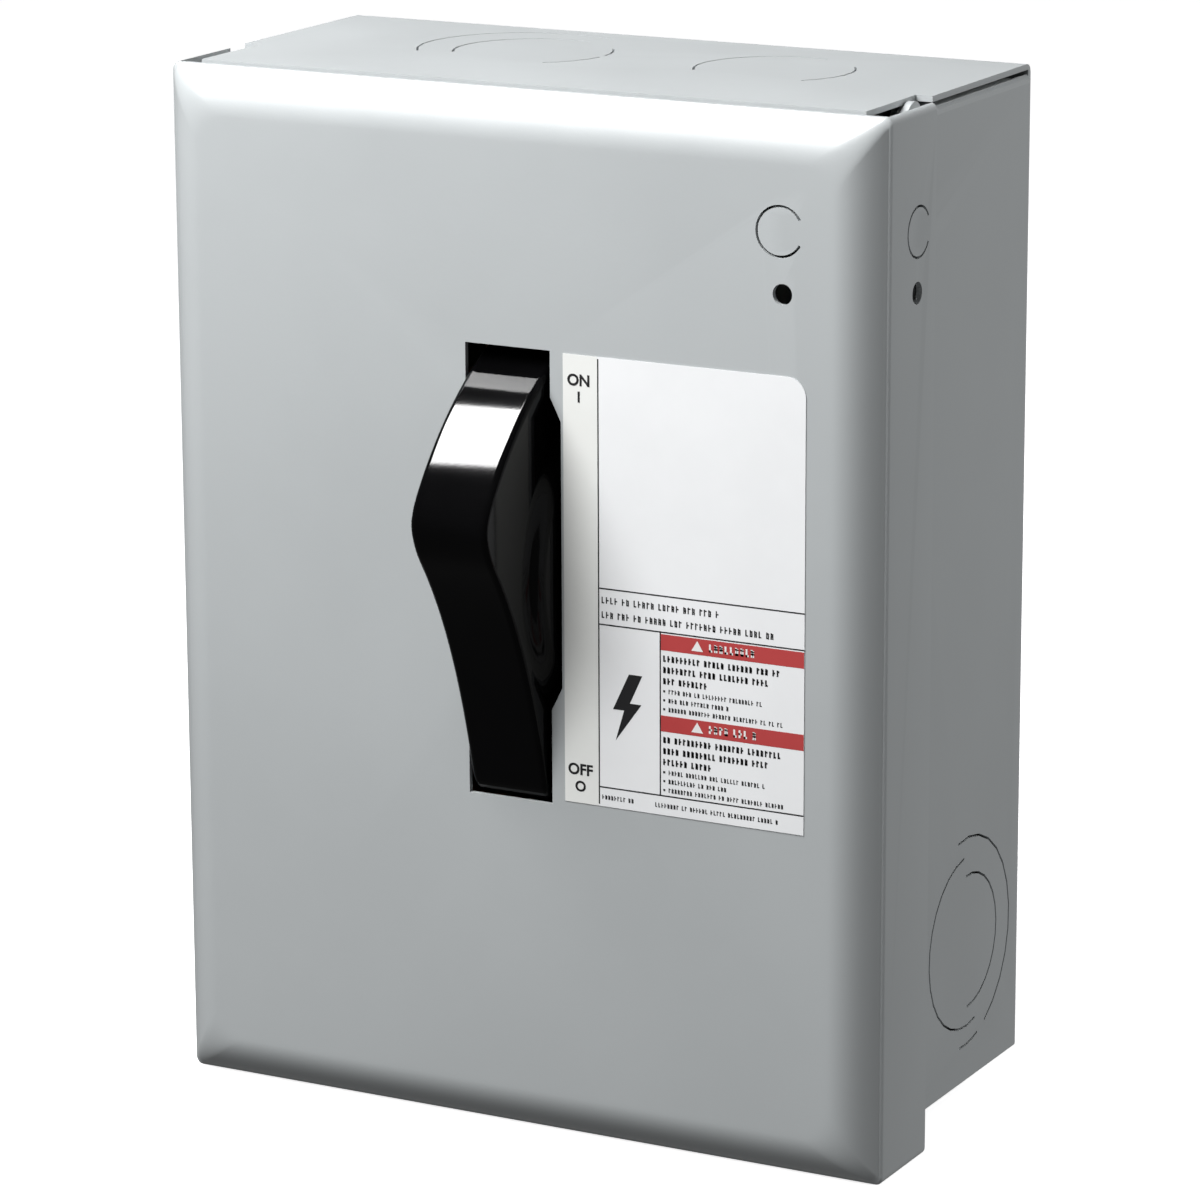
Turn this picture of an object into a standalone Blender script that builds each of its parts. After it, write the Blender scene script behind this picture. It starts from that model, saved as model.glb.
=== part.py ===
"""General-duty AC disconnect box: a sheet-steel enclosure with a top-hinged cover, a black rocker
handle and a two-pole double-break fusible switch inside.

Dimensions are in millimetres and the helpers turn them into metres. X is to the right, the front
faces -Y and Z is up. The origin is the centre of the enclosure's back face.
"""

import math

import bmesh
import bpy
from mathutils import Matrix, Vector

MM = 0.001
GAP = 0.3

# Enclosure body
SHEET = 1.2
BODY_HALF_WIDTH = 79.0
BODY_HALF_HEIGHT = 104.45
BODY_FRONT_Y = -70.6
WALL_TOP_Z = BODY_HALF_HEIGHT - SHEET
BEND_RADIUS = 1.8
TOP_PANEL_HALF_WIDTH = 78.4
TOP_SEAM = 0.8
OVERLAP = 0.1
WELD_FLANGE_X = (66.0, 78.2)
WELD_FLANGE_Y = (-46.0, -8.0)
WELD_SPOT_X = (69.0, 74.0)
WELD_SPOT_Y = (-39.0, -15.0)
WELD_SPOT_HALF_LENGTH = 3.0
NOTCH_X = (74.8, 80.0)
NOTCH_Y = (-72.0, -48.0)
MOUNTING_HOLE_RADIUS = 3.2
MOUNTING_HOLES = ((0.0, 90.0), (-66.0, -88.0), (66.0, -88.0))

# Knockouts: slits sheared part of the way round each disc. Angles are in degrees, from the back
# upwards on the sides and from the right backwards on the top and bottom.
SLIT = 0.5
SLIT_STEP_DEG = 13.0
SIDE_KNOCKOUT = (-28.4, -74.15)
SIDE_KNOCKOUT_RADII = (22.5, 18.4, 14.3)
SIDE_KNOCKOUT_SHIFT = 0.8
SIDE_KNOCKOUT_ARCS = (((-95, -72), (-62, 100)), ((95, 285),), ((-90, 96),))
TOP_LARGE_KNOCKOUT = (-23.4, -28.1)
TOP_LARGE_RADIUS = 21.9
TOP_LARGE_ARCS = ((60, 215),)
TOP_INNER_KNOCKOUT = (-19.8, -30.2)
TOP_INNER_RADIUS = 16.6
TOP_INNER_ARCS = ((-55, -6), (0, 34), (75, 212))
TOP_SMALL_KNOCKOUT = (35.4, -30.1)
TOP_SMALL_RADIUS = 16.4
TOP_SMALL_ARCS = ((-45, 34), (75, 212))

# Front cover
COVER_HALF_WIDTH = 81.0
COVER_TOP_Z = 103.95
COVER_BOTTOM_Z = -112.45
LEDGE_Y = -72.6
FLANGE_DEPTH = 21.1
RAISE = 5.5
LEDGE = 1.9
EDGE_WIDTH = 7.5
EDGE_STEPS = 6
RAISED_CORNER = 4.0
FRONT_CORNER = 2.5
FLANGE_ROUNDING = 1.6
CORNER_STEPS = 3
LIP_DEPTH = 16.0
COVER_FRONT_Y = LEDGE_Y - RAISE
COVER_INNER_Y = COVER_FRONT_Y + SHEET
FRONT_LOCK_CENTRE = (60.1, 81.15)
FRONT_LOCK_RADIUS = 4.95
FRONT_HOLE_CENTRE = (60.75, 68.85)
FRONT_HOLE_RADIUS = 2.1
FLANGE_LOCK_CENTRE = (-59.4, 79.75)
FLANGE_LOCK_RADIUS = 5.05
FLANGE_HOLE_CENTRE = (-59.9, 67.75)
FLANGE_HOLE_RADIUS = 2.25
LOCK_ARCS = ((30, 330),)

# Cover hinge
HINGE_Y = LEDGE_Y + 20.0
HINGE_Z = 100.55
HINGE_PIN_RADIUS = 1.5
HINGE_PIN_X = (73.6, 77.5)
HINGE_HEAD_RADIUS = 2.6
HINGE_HEAD_X = (72.6, 74.0)
ARM_X = (75.3, 76.7)
ARM_EYE_RADIUS = 3.4
ARM_FRONT_Y = -73.6
ARM_TAB_Z = (78.0, 91.0)
ARM_TAB_X = (66.0, 76.5)
ARM_PAD_X = (58.0, 68.0)

# Handle and its slot: a drum about the shaft at P
SHAFT_Y = LEDGE_Y + 20.0
SHAFT_Z = 6.2
SHAFT_RADIUS = 4.0
SHAFT_X = (-24.0, 17.2)
SLOT_HALF_WIDTH = 9.6
SLOT_HALF_LENGTH = 46.85
SLOT_WIDE_HALF_WIDTH = 12.0
SLOT_WIDE_Z = (-16.0, 38.8)
SLOT_TAPER = 4.8
DRUM_RADIUS = 49.0
NOSE_GAIN = 4.0
NOSE_DEG = 20.0
NOSE_START_DEG = 58.0
DRUM_TOP_DEG = 110.0
DRUM_BOTTOM_DEG = -70.0
SCOOP_START = (48.6, 8.2)
SCOOP_PULL = (34.0, -11.0)
SCOOP_END = (25.8, -45.2)
DRUM_HALF_WIDTH = 8.7
CHEEK_HALF_WIDTH = 11.0
CHEEK_RADIUS = 30.0
CHEEK_ROOT_RADIUS = 36.0
HANDLE_WALL = 4.0
HANDLE_CAVITY_HALF_WIDTH = 5.4
HUB_RADIUS = 11.0
HANDLE_EDGE = 1.3
REAR_HALF_SPACE = (0.5, 60.0)
CAVITY_SPREAD_DEG = 30.0
CAVITY_SHOULDER_DEG = 10.0

# Label on the cover
LABEL_X = (12.6, 66.0)
LABEL_Z = (-39.4, 52.8)
LABEL_THICKNESS = 0.3
LABEL_CORNER = 4.0

# Mechanism
ROTOR_Y = -32.6
ROTOR_Z = SHAFT_Z
ROTOR_RADIUS = 6.0
ROTOR_HALF_LENGTH = 51.0
ROTOR_HUB_RADIUS = 9.0
ROTOR_HUB_HALF_LENGTH = 7.5
CRANK_LENGTH = 12.0
CRANK_DEG = 114.0
CRANK_EYE_RADIUS = 4.0
HANDLE_CRANK_HUB_RADIUS = 7.0
ROTOR_CRANK_HUB_RADIUS = 9.0
CRANK_X = (15.2, 17.0)
LINK_X = (17.8, 19.4)
LINK_HALF_WIDTH = 3.6
LINK_PIN_RADIUS = 1.5
LINK_PIN_X = (15.0, 20.2)
LINK_HEAD_RADIUS = 2.6
LINK_HEAD_X = (19.8, 21.0)
FRAME_X = (13.0, 14.5)
FRAME_FOOT_X = (13.2, 22.0)
FRAME_FOOT_THICKNESS = 1.5
FRAME_Z = (-16.0, 28.0)
FRAME_TOP_RADIUS = 8.0
BEARING_X = (47.0, 52.0)
BEARING_HALF_WIDTH = 9.5
BEARING_FRONT_Y = -42.0
SPRING_RADIUS = 6.6
SPRING_WIRE = 0.8
SPRING_TURNS = 3
SPRING_X = (-16.2, -22.0)
SPRING_LEG = 9.0
SPRING_STEPS = 12

# Switch base
BASE_HALF_WIDTH = 54.0
BASE_Y = (-10.0, -1.6)
BASE_Z = (-99.0, 79.0)
BASE_ROUNDING = 0.8
SMALL_ROUNDING = 0.6
BLADE_ROUNDING = 0.4
BARRIER_X = (17.6, 19.4)
BARRIER_Y = (-34.0, -9.0)
LOWER_BARRIER_Z = (-98.5, -27.0)
UPPER_BARRIER_Z = (40.0, 78.5)
EDGE_BARRIER_X = (51.7, 53.5)
EDGE_BARRIER_Y = (-26.0, -9.0)
BASE_SCREWS = ((0.0, 68.0), (0.0, -88.0))
SCREW_RADIUS = 2.0
SCREW_HEAD_RADIUS = 3.6
SCREW_HEAD_HEIGHT = 2.2
SCREW_SLOT = 0.9

# Poles: contacts, lugs and fuses, mirrored about X = 0
POLE_X = 36.0
STRAP_HALF_WIDTH = 6.0
STRAP_Y = (-11.9, -10.3)
JAW_LEAF_X = (1.4, 2.6)
LINE_STRAP_Z = (19.0, 77.0)
LINE_LEAF_Z = (21.0, 35.0)
LINE_LEAF_Y = (-38.0, -11.0)
LOAD_JAW_STRAP_Z = (-46.0, -24.0)
LOAD_POST_Y = (-40.0, -11.0)
LOAD_POST_Z = (-27.0, -25.2)
LOAD_LEAF_Y = (-39.9, -26.0)
LOAD_LEAF_Z = (-26.0, -9.0)
BLADE_HALF_THICKNESS = 1.0
BLADE_HALF_WIDTH = 4.0
BLADE_HALF_LENGTH = 24.0
LINE_LUG_SIZE = (7.0, 14.8, 18.0)
LINE_LUG_Z = 57.0
LOAD_STRAP_Z = (-98.0, -66.0)
LOAD_LUG_SIZE = (6.5, 12.8, 13.0)
LOAD_LUG_Z = -97.0
LUG_BACK_Y = -12.2
WIRE_HOLE_RADIUS = 3.6
LUG_SCREW_RADIUS = 2.7
LUG_SCREW_PROUD = 2.0
LUG_WEB = 1.5
FUSE_Y = -22.5
FUSE_Z = (-80.3, -29.5)
FERRULE_LENGTH = 12.7
FERRULE_RADIUS = 7.15
FUSE_TUBE_RADIUS = 6.85
CLIP_THICKNESS = 1.2
CLIP_MOUTH_DEG = 52.0
CLIP_LENGTH = 9.0
CLIP_FOOT_HALF_WIDTH = 5.0
CLIP_FOOT_Y = (-14.4, -12.2)
UPPER_CLIP_Z = -39.5
LOWER_CLIP_Z = -79.0

# Line shield, neutral, ground and cover catch
SHIELD_HALF_WIDTH = 50.0
SHIELD_Y = (-42.5, -41.0)
SHIELD_LEG_Y = (-41.5, -10.3)
SHIELD_Z = (58.5, 78.0)
SHIELD_THICKNESS = 1.5
NEUTRAL_BLOCK_X = (-72.0, -61.0)
NEUTRAL_BLOCK_Y = (-12.0, -1.6)
NEUTRAL_BLOCK_Z = (-46.0, 0.0)
NEUTRAL_BAR_X = (-71.0, -62.0)
NEUTRAL_BAR_Y = (-22.0, -12.3)
NEUTRAL_BAR_Z = (-48.0, 2.0)
NEUTRAL_WIRE_HOLES = (-40.0, -29.0, -18.0, -7.0)
NEUTRAL_SCREWS = (-40.0, -7.0)
NEUTRAL_HOLE_RADIUS = 2.4
GROUND_LUG_X = (61.0, 71.0)
GROUND_LUG_Y = (-13.0, -1.6)
GROUND_LUG_Z = (-44.0, -32.0)
GROUND_HOLE_RADIUS = 3.0
CATCH_X = (2.5, 14.5)
CATCH_THICKNESS = 0.8
CATCH_FOOT_Y = (-38.0, -52.0)
CATCH_CREST = (-62.0, 2.6)
CATCH_LIP = (-67.0, 3.6)

STEEL_PAINT = ("painted_steel_grey", (0.40, 0.43, 0.44), 0.42, 0.0)
BLACK_PLASTIC = ("black_handle_plastic", (0.008, 0.008, 0.009), 0.16, 0.0)
LABEL_VINYL = ("white_label_vinyl", (0.86, 0.86, 0.85), 0.45, 0.0)
BASE_PLASTIC = ("moulded_base_plastic", (0.05, 0.045, 0.04), 0.5, 0.0)
ROTOR_PLASTIC = ("red_rotor_plastic", (0.30, 0.05, 0.03), 0.45, 0.0)
SHIELD_PLASTIC = ("shield_fibre", (0.32, 0.33, 0.33), 0.6, 0.0)
ZINC_STEEL = ("zinc_plated_steel", (0.62, 0.62, 0.60), 0.32, 1.0)
COPPER = ("tinned_copper", (0.72, 0.45, 0.30), 0.3, 1.0)
ALUMINIUM = ("lug_aluminium", (0.78, 0.78, 0.79), 0.35, 1.0)
FUSE_PAPER = ("fuse_tube_fibre", (0.42, 0.12, 0.07), 0.7, 0.0)


def clear_scene():
    for obj in list(bpy.data.objects):
        bpy.data.objects.remove(obj, do_unlink=True)


def make_collection(name):
    collection = bpy.data.collections.new(name)
    bpy.context.scene.collection.children.link(collection)
    return collection


def get_material(look):
    name, colour, roughness, metallic = look
    material = bpy.data.materials.get(name)
    if material:
        return material
    material = bpy.data.materials.new(name)
    material.use_nodes = True
    shader = material.node_tree.nodes["Principled BSDF"]
    shader.inputs["Base Color"].default_value = (*colour, 1.0)
    shader.inputs["Roughness"].default_value = roughness
    shader.inputs["Metallic"].default_value = metallic
    material.diffuse_color = (*colour, 1.0)
    return material


def link_mesh(name, mesh, look):
    """Makes a node of the part, or a hidden tool when look is None."""
    obj = bpy.data.objects.new(name, mesh)
    if look is None:
        TOOLS.objects.link(obj)
        obj.hide_render = True
        obj.display_type = "WIRE"
        return obj
    PARTS.objects.link(obj)
    mesh.materials.append(get_material(look))
    mesh.shade_smooth()
    mesh.set_sharp_from_angle(angle=math.radians(35))
    return obj


def mesh_object(name, bm, look):
    bmesh.ops.recalc_face_normals(bm, faces=bm.faces)
    if all(edge.is_manifold for edge in bm.edges) and bm.calc_volume(signed=True) < 0:
        bmesh.ops.reverse_faces(bm, faces=bm.faces)
    mesh = bpy.data.meshes.new(name)
    bm.to_mesh(mesh)
    bm.free()
    return link_mesh(name, mesh, look)


def box_bmesh(x, y, z):
    bm = bmesh.new()
    bmesh.ops.create_cube(bm, size=1.0)
    size = Vector((x[1] - x[0], y[1] - y[0], z[1] - z[0])) * MM
    centre = Vector((x[0] + x[1], y[0] + y[1], z[0] + z[1])) * (MM / 2)
    bmesh.ops.scale(bm, vec=size, verts=bm.verts)
    bmesh.ops.translate(bm, vec=centre, verts=bm.verts)
    return bm


def make_box(name, x, y, z, look=None):
    return mesh_object(name, box_bmesh(x, y, z), look)


def axis_frame(axis):
    """Turns a flat drawing towards its normal: X draws in (Y, Z), Y in (X, Z) and Z in (X, Y)."""
    columns = {
        "X": ((0, 1, 0), (0, 0, 1), (1, 0, 0)),
        "Y": ((1, 0, 0), (0, 0, 1), (0, -1, 0)),
        "Z": ((1, 0, 0), (0, 1, 0), (0, 0, 1)),
    }[axis]
    return Matrix(columns).transposed().to_4x4()


def place_along(axis, centre, span):
    """The frame of a piece drawn about centre whose thickness fills span along axis."""
    frame = axis_frame(axis)
    normal = frame.col[2].to_3d()
    middle = (span[0] + span[1]) / 2
    along = normal * (middle * MM * sum(normal))
    across = frame.to_3x3() @ Vector((centre[0], centre[1], 0.0)) * MM
    return Matrix.Translation(along + across) @ frame


def make_cylinder(name, axis, centre, radius, span, look=None, segments=32, end_radius=None):
    """A cylinder, or a cone towards the span's far end when end_radius is given."""
    bm = bmesh.new()
    far = radius if end_radius is None else end_radius
    near_first = sum(axis_frame(axis).col[2].to_3d()) > 0
    bmesh.ops.create_cone(
        bm,
        cap_ends=True,
        segments=segments,
        radius1=(radius if near_first else far) * MM,
        radius2=(far if near_first else radius) * MM,
        depth=(span[1] - span[0]) * MM,
    )
    bm.transform(place_along(axis, centre, span))
    return mesh_object(name, bm, look)


def add_spline(curve, points):
    spline = curve.splines.new("POLY")
    spline.points.add(len(points) - 1)
    for target, (a, b) in zip(spline.points, points):
        target.co = (a * MM, b * MM, 0.0, 1.0)
    spline.use_cyclic_u = True


def curve_to_mesh(name, curve, matrix, look):
    """Bakes a curve into a closed mesh, so that it can be cut or joined."""
    holder = bpy.data.objects.new(name + "_curve", curve)
    bpy.context.scene.collection.objects.link(holder)
    bpy.context.view_layer.update()
    evaluated = holder.evaluated_get(bpy.context.evaluated_depsgraph_get())
    bm = bmesh.new()
    baked = bpy.data.meshes.new_from_object(evaluated)
    bm.from_mesh(baked)
    bpy.data.meshes.remove(baked)
    bpy.data.objects.remove(holder, do_unlink=True)
    bmesh.ops.remove_doubles(bm, verts=bm.verts, dist=0.00001)
    bm.transform(matrix)
    return mesh_object(name, bm, look)


def make_plate(name, axis, outline, span, look=None, holes=()):
    """A flat outline with holes, filling span along axis."""
    curve = bpy.data.curves.new(name, "CURVE")
    curve.dimensions = "2D"
    curve.fill_mode = "BOTH"
    curve.extrude = (span[1] - span[0]) * MM / 2
    for points in (outline, *holes):
        add_spline(curve, points)
    return curve_to_mesh(name, curve, place_along(axis, (0.0, 0.0), span), look)


def arc(centre, radius, start, stop, steps):
    """Points on an arc, in degrees."""
    points = []
    for step in range(steps + 1):
        angle = math.radians(start + (stop - start) * step / steps)
        points.append((centre[0] + radius * math.cos(angle), centre[1] + radius * math.sin(angle)))
    return points


def circle(centre, radius, steps=24):
    return arc(centre, radius, 0, 360 - 360 / steps, steps - 1)


def rectangle(a, b):
    return [(a[0], b[0]), (a[1], b[0]), (a[1], b[1]), (a[0], b[1])]


def capsule(first, first_radius, second, second_radius, steps=12):
    """The outline round two circles joined by their outer tangents."""
    run = Vector(second) - Vector(first)
    heading = math.degrees(math.atan2(run.y, run.x))
    lean = math.degrees(math.acos((first_radius - second_radius) / run.length))
    outline = arc(second, second_radius, heading - lean, heading + lean, steps)
    return outline + arc(first, first_radius, heading + lean, heading + 360 - lean, steps)


def combine(obj, operation, tools):
    for tool in tools:
        modifier = obj.modifiers.new(operation.lower(), "BOOLEAN")
        modifier.operation = operation
        modifier.solver = "EXACT"
        modifier.object = tool
    return obj


def fuse(obj, *tools):
    return combine(obj, "UNION", tools)


def cut(obj, *tools):
    return combine(obj, "DIFFERENCE", tools)


def round_edges(obj, width, segments=2, angle=50):
    modifier = obj.modifiers.new("round_edges", "BEVEL")
    modifier.width = width * MM
    modifier.segments = segments
    modifier.limit_method = "ANGLE"
    modifier.angle_limit = math.radians(angle)
    return obj


def round_weighted(obj, width, segments):
    modifier = obj.modifiers.new("round_weighted", "BEVEL")
    modifier.width = width * MM
    modifier.segments = segments
    modifier.limit_method = "WEIGHT"
    return obj


def weight_edges(bm, wanted, weight):
    """Marks for rounding the edges whose two ends pass the test, given in millimetres."""
    layer = bm.edges.layers.float.get("bevel_weight_edge") or bm.edges.layers.float.new("bevel_weight_edge")
    for edge in bm.edges:
        first, second = (vert.co / MM for vert in edge.verts)
        if wanted(first, second):
            edge[layer] = weight


def make_pivot(name, x, y, z):
    pivot = bpy.data.objects.new(name, None)
    pivot.location = Vector((x, y, z)) * MM
    PARTS.objects.link(pivot)
    return pivot


def ride(pivot, *pieces):
    """Parents pieces to a pivot on their joint's axis, without moving them."""
    for piece in pieces:
        piece.parent = pivot
        piece.matrix_parent_inverse = Matrix.Translation(-pivot.location)


def mirrored(span, side):
    """A span measured away from X = 0, on the right (side 1) or the left (side -1)."""
    return tuple(sorted((span[0] * side, span[1] * side)))


def around(middle, span_or_half):
    return (middle - span_or_half, middle + span_or_half)


def slit(name, axis, centre, radius, span, arcs):
    """The slits round one knockout, as (start, stop) arcs in degrees."""
    cutters = []
    for number, (start, stop) in enumerate(arcs):
        steps = max(3, round((stop - start) / SLIT_STEP_DEG))
        outline = arc(centre, radius + SLIT / 2, start, stop, steps)
        outline += arc(centre, radius - SLIT / 2, stop, start, steps)
        cutters.append(make_plate(f"{name}_{number}", axis, outline, span))
    return cutters


def side_knockouts(side, name):
    span = mirrored((BODY_HALF_WIDTH - 3 * SHEET, BODY_HALF_WIDTH + SHEET), side)
    cutters = []
    for ring, (radius, arcs) in enumerate(zip(SIDE_KNOCKOUT_RADII, SIDE_KNOCKOUT_ARCS)):
        centre = (SIDE_KNOCKOUT[0] + ring * SIDE_KNOCKOUT_SHIFT, SIDE_KNOCKOUT[1])
        cutters += slit(f"{name}_{ring}", "X", centre, radius, span, arcs)
    return cutters


def end_knockouts(side, name):
    span = mirrored((BODY_HALF_HEIGHT - 3 * SHEET, BODY_HALF_HEIGHT + SHEET), side)
    cutters = slit(name + "_large", "Z", TOP_LARGE_KNOCKOUT, TOP_LARGE_RADIUS, span, TOP_LARGE_ARCS)
    cutters += slit(name + "_inner", "Z", TOP_INNER_KNOCKOUT, TOP_INNER_RADIUS, span, TOP_INNER_ARCS)
    cutters += slit(name + "_small", "Z", TOP_SMALL_KNOCKOUT, TOP_SMALL_RADIUS, span, TOP_SMALL_ARCS)
    return cutters


def wall_block():
    """The solid that the back, side and bottom walls are hollowed from, with its bends."""
    seam_z = WALL_TOP_Z - TOP_SEAM
    width = (-BODY_HALF_WIDTH, BODY_HALF_WIDTH)
    bm = box_bmesh(width, (BODY_FRONT_Y, 0.0), (-BODY_HALF_HEIGHT, seam_z))
    side = BODY_HALF_WIDTH - SHEET

    def bend(first, second):
        outer = abs(first.x) > side and first.x * second.x > 0
        at_back = first.y > -SHEET and second.y > -SHEET
        at_top = first.z > 0 and second.z > 0
        return outer and (at_back or at_top)

    weight_edges(bm, bend, 1.0)
    return round_weighted(mesh_object("enclosure_body", bm, STEEL_PAINT), BEND_RADIUS, 3)


def top_panel():
    """The top, bent from the back wall and lying over the side walls with a thin seam."""
    low = WALL_TOP_Z - TOP_SEAM - SHEET
    panel_x = (-TOP_PANEL_HALF_WIDTH, TOP_PANEL_HALF_WIDTH)
    bm = box_bmesh(panel_x, (BODY_FRONT_Y, -OVERLAP), (low, BODY_HALF_HEIGHT))

    def bend(first, second):
        return min(first.y, second.y) > -SHEET and min(first.z, second.z) > low + SHEET

    weight_edges(bm, bend, 1.0)
    panel = round_weighted(mesh_object("top_panel", bm, None), BEND_RADIUS, 3)
    under_x = (-BODY_HALF_WIDTH, BODY_HALF_WIDTH)
    under_y = (BODY_FRONT_Y - SHEET, -SHEET - OVERLAP)
    return cut(panel, make_box("under_panel", under_x, under_y, (low - SHEET, WALL_TOP_Z)))


def weld_flanges(side, word):
    """A flange folded in from the side wall, spot-welded under the top panel."""
    flange_x = mirrored(WELD_FLANGE_X, side)
    high = WALL_TOP_Z - TOP_SEAM - 2 * OVERLAP
    pieces = [make_box("weld_flange_" + word, flange_x, WELD_FLANGE_Y, (high - SHEET, high))]
    for number, y in enumerate(WELD_SPOT_Y):
        spot_y = around(y, WELD_SPOT_HALF_LENGTH)
        spot_z = (high - OVERLAP, WALL_TOP_Z + OVERLAP)
        pieces.append(make_box(f"weld_spot_{word}_{number}", mirrored(WELD_SPOT_X, side), spot_y, spot_z))
    return pieces


def make_body():
    body = wall_block()
    inside = BODY_HALF_WIDTH - SHEET
    inside_z = (-BODY_HALF_HEIGHT + SHEET, BODY_HALF_HEIGHT)
    cut(body, make_box("body_inside", (-inside, inside), (BODY_FRONT_Y - SHEET, -SHEET), inside_z))
    fuse(body, top_panel())
    cut(body, *end_knockouts(1, "top_knockout"), *end_knockouts(-1, "bottom_knockout"))
    for side, word in ((-1, "left"), (1, "right")):
        fuse(body, *weld_flanges(side, word))
        notch_z = (WALL_TOP_Z - TOP_SEAM - GAP, BODY_HALF_HEIGHT + SHEET)
        cut(body, make_box("hinge_notch_" + word, mirrored(NOTCH_X, side), NOTCH_Y, notch_z))
        cut(body, *side_knockouts(side, "side_knockout_" + word))
    for number, centre in enumerate(MOUNTING_HOLES):
        span = (-2 * SHEET, SHEET)
        hole = make_cylinder(f"mounting_hole_{number}", "Y", centre, MOUNTING_HOLE_RADIUS, span, segments=20)
        cut(body, hole)
    wall = (BODY_HALF_WIDTH - 2 * SHEET, BODY_HALF_WIDTH + GAP)
    cut(body, make_cylinder("wall_lock_hole", "X", FLANGE_LOCK_CENTRE, FLANGE_LOCK_RADIUS, wall, segments=20))
    cut(body, make_cylinder("wall_seal_hole", "X", FLANGE_HOLE_CENTRE, FLANGE_HOLE_RADIUS, wall, segments=16))


def rounded_ring(bm, inset, y, corner):
    """A rounded rectangle of vertices round the cover, inset from its outside."""
    half_x = COVER_HALF_WIDTH - inset
    low_z = COVER_BOTTOM_Z + inset
    high_z = COVER_TOP_Z - inset
    left = corner - half_x
    right = half_x - corner
    low = low_z + corner
    high = high_z - corner
    points = []
    for turn, centre in enumerate(((right, high), (left, high), (left, low), (right, low))):
        points += arc(centre, corner, turn * 90, turn * 90 + 90, CORNER_STEPS)
    return [bm.verts.new(Vector((x, y, z)) * MM) for x, z in points]


def cover_sections():
    """(inset, y, corner radius) from the flange's back edge round to the raised front."""
    sections = [(0.0, LEDGE_Y + FLANGE_DEPTH, FLANGE_ROUNDING)]
    for step in range(4):
        turn = math.radians(30 * step)
        inset = FLANGE_ROUNDING * (1 - math.cos(turn))
        sections.append((inset, LEDGE_Y + FLANGE_ROUNDING * (1 - math.sin(turn)), FLANGE_ROUNDING))
    for step in range(EDGE_STEPS + 1):
        turn = math.radians(90 * step / EDGE_STEPS)
        inset = LEDGE + EDGE_WIDTH * (1 - math.cos(turn))
        corner = RAISED_CORNER - (RAISED_CORNER - FRONT_CORNER) * step / EDGE_STEPS
        sections.append((inset, LEDGE_Y - RAISE * math.sin(turn), corner))
    return sections


def cover_blank():
    """The formed sheet: side walls, a narrow ledge and the raised front with its soft edge."""
    bm = bmesh.new()
    rings = [rounded_ring(bm, *section) for section in cover_sections()]
    for near, far in zip(rings, rings[1:]):
        for k, vert in enumerate(near):
            after = (k + 1) % len(near)
            bm.faces.new((vert, near[after], far[after], far[k]))
    bm.faces.new(rings[-1])
    cover = mesh_object("front_cover", bm, STEEL_PAINT)
    wall = cover.modifiers.new("sheet", "SOLIDIFY")
    wall.thickness = SHEET * MM
    wall.offset = -1
    wall.use_even_offset = True
    return cover


def slot_outline():
    low = SHAFT_Z - SLOT_HALF_LENGTH
    high = SHAFT_Z + SLOT_HALF_LENGTH
    right = [
        (SLOT_HALF_WIDTH, low),
        (SLOT_HALF_WIDTH, SLOT_WIDE_Z[0] - SLOT_TAPER),
        (SLOT_WIDE_HALF_WIDTH, SLOT_WIDE_Z[0]),
        (SLOT_WIDE_HALF_WIDTH, SLOT_WIDE_Z[1]),
        (SLOT_HALF_WIDTH, SLOT_WIDE_Z[1] + SLOT_TAPER),
        (SLOT_HALF_WIDTH, high),
    ]
    return right + [(-x, z) for x, z in reversed(right)]


def make_cover(pivot):
    cover = cover_blank()
    inside = COVER_HALF_WIDTH - SHEET
    through = (COVER_FRONT_Y - SHEET, COVER_INNER_Y + SHEET)
    top_z = (COVER_TOP_Z - 2 * SHEET, COVER_TOP_Z + SHEET)
    behind = (LEDGE_Y + SHEET + OVERLAP, LEDGE_Y + FLANGE_DEPTH + SHEET)
    cut(cover, make_box("top_flange_relief", (-inside, inside), behind, top_z))
    lip_x = (GAP - inside, inside - GAP)
    lip_y = (LEDGE_Y + LIP_DEPTH, behind[1])
    cut(cover, make_box("lip_relief", lip_x, lip_y, (COVER_BOTTOM_Z - SHEET, COVER_BOTTOM_Z + 2 * SHEET)))
    cut(cover, make_plate("handle_slot", "Y", slot_outline(), through))
    cut(cover, *slit("front_lock", "Y", FRONT_LOCK_CENTRE, FRONT_LOCK_RADIUS, through, LOCK_ARCS))
    cut(cover, make_cylinder("seal_hole", "Y", FRONT_HOLE_CENTRE, FRONT_HOLE_RADIUS, through, segments=20))
    flange_span = (inside - SHEET, COVER_HALF_WIDTH + SHEET)
    cut(cover, *slit("flange_lock", "X", FLANGE_LOCK_CENTRE, FLANGE_LOCK_RADIUS, flange_span, LOCK_ARCS))
    hole = make_cylinder("flange_hole", "X", FLANGE_HOLE_CENTRE, FLANGE_HOLE_RADIUS, flange_span, segments=20)
    cut(cover, hole)
    ride(pivot, cover)


def make_label(pivot):
    centre = (LABEL_X[1] - LABEL_CORNER, LABEL_Z[1] - LABEL_CORNER)
    outline = [(LABEL_X[0], LABEL_Z[1]), (LABEL_X[0], LABEL_Z[0]), (LABEL_X[1], LABEL_Z[0])]
    outline += arc(centre, LABEL_CORNER, 0, 90, 6)
    back = COVER_FRONT_Y - GAP
    label = make_plate("cover_label", "Y", outline, (back - LABEL_THICKNESS, back), LABEL_VINYL)
    ride(pivot, label)


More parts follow.
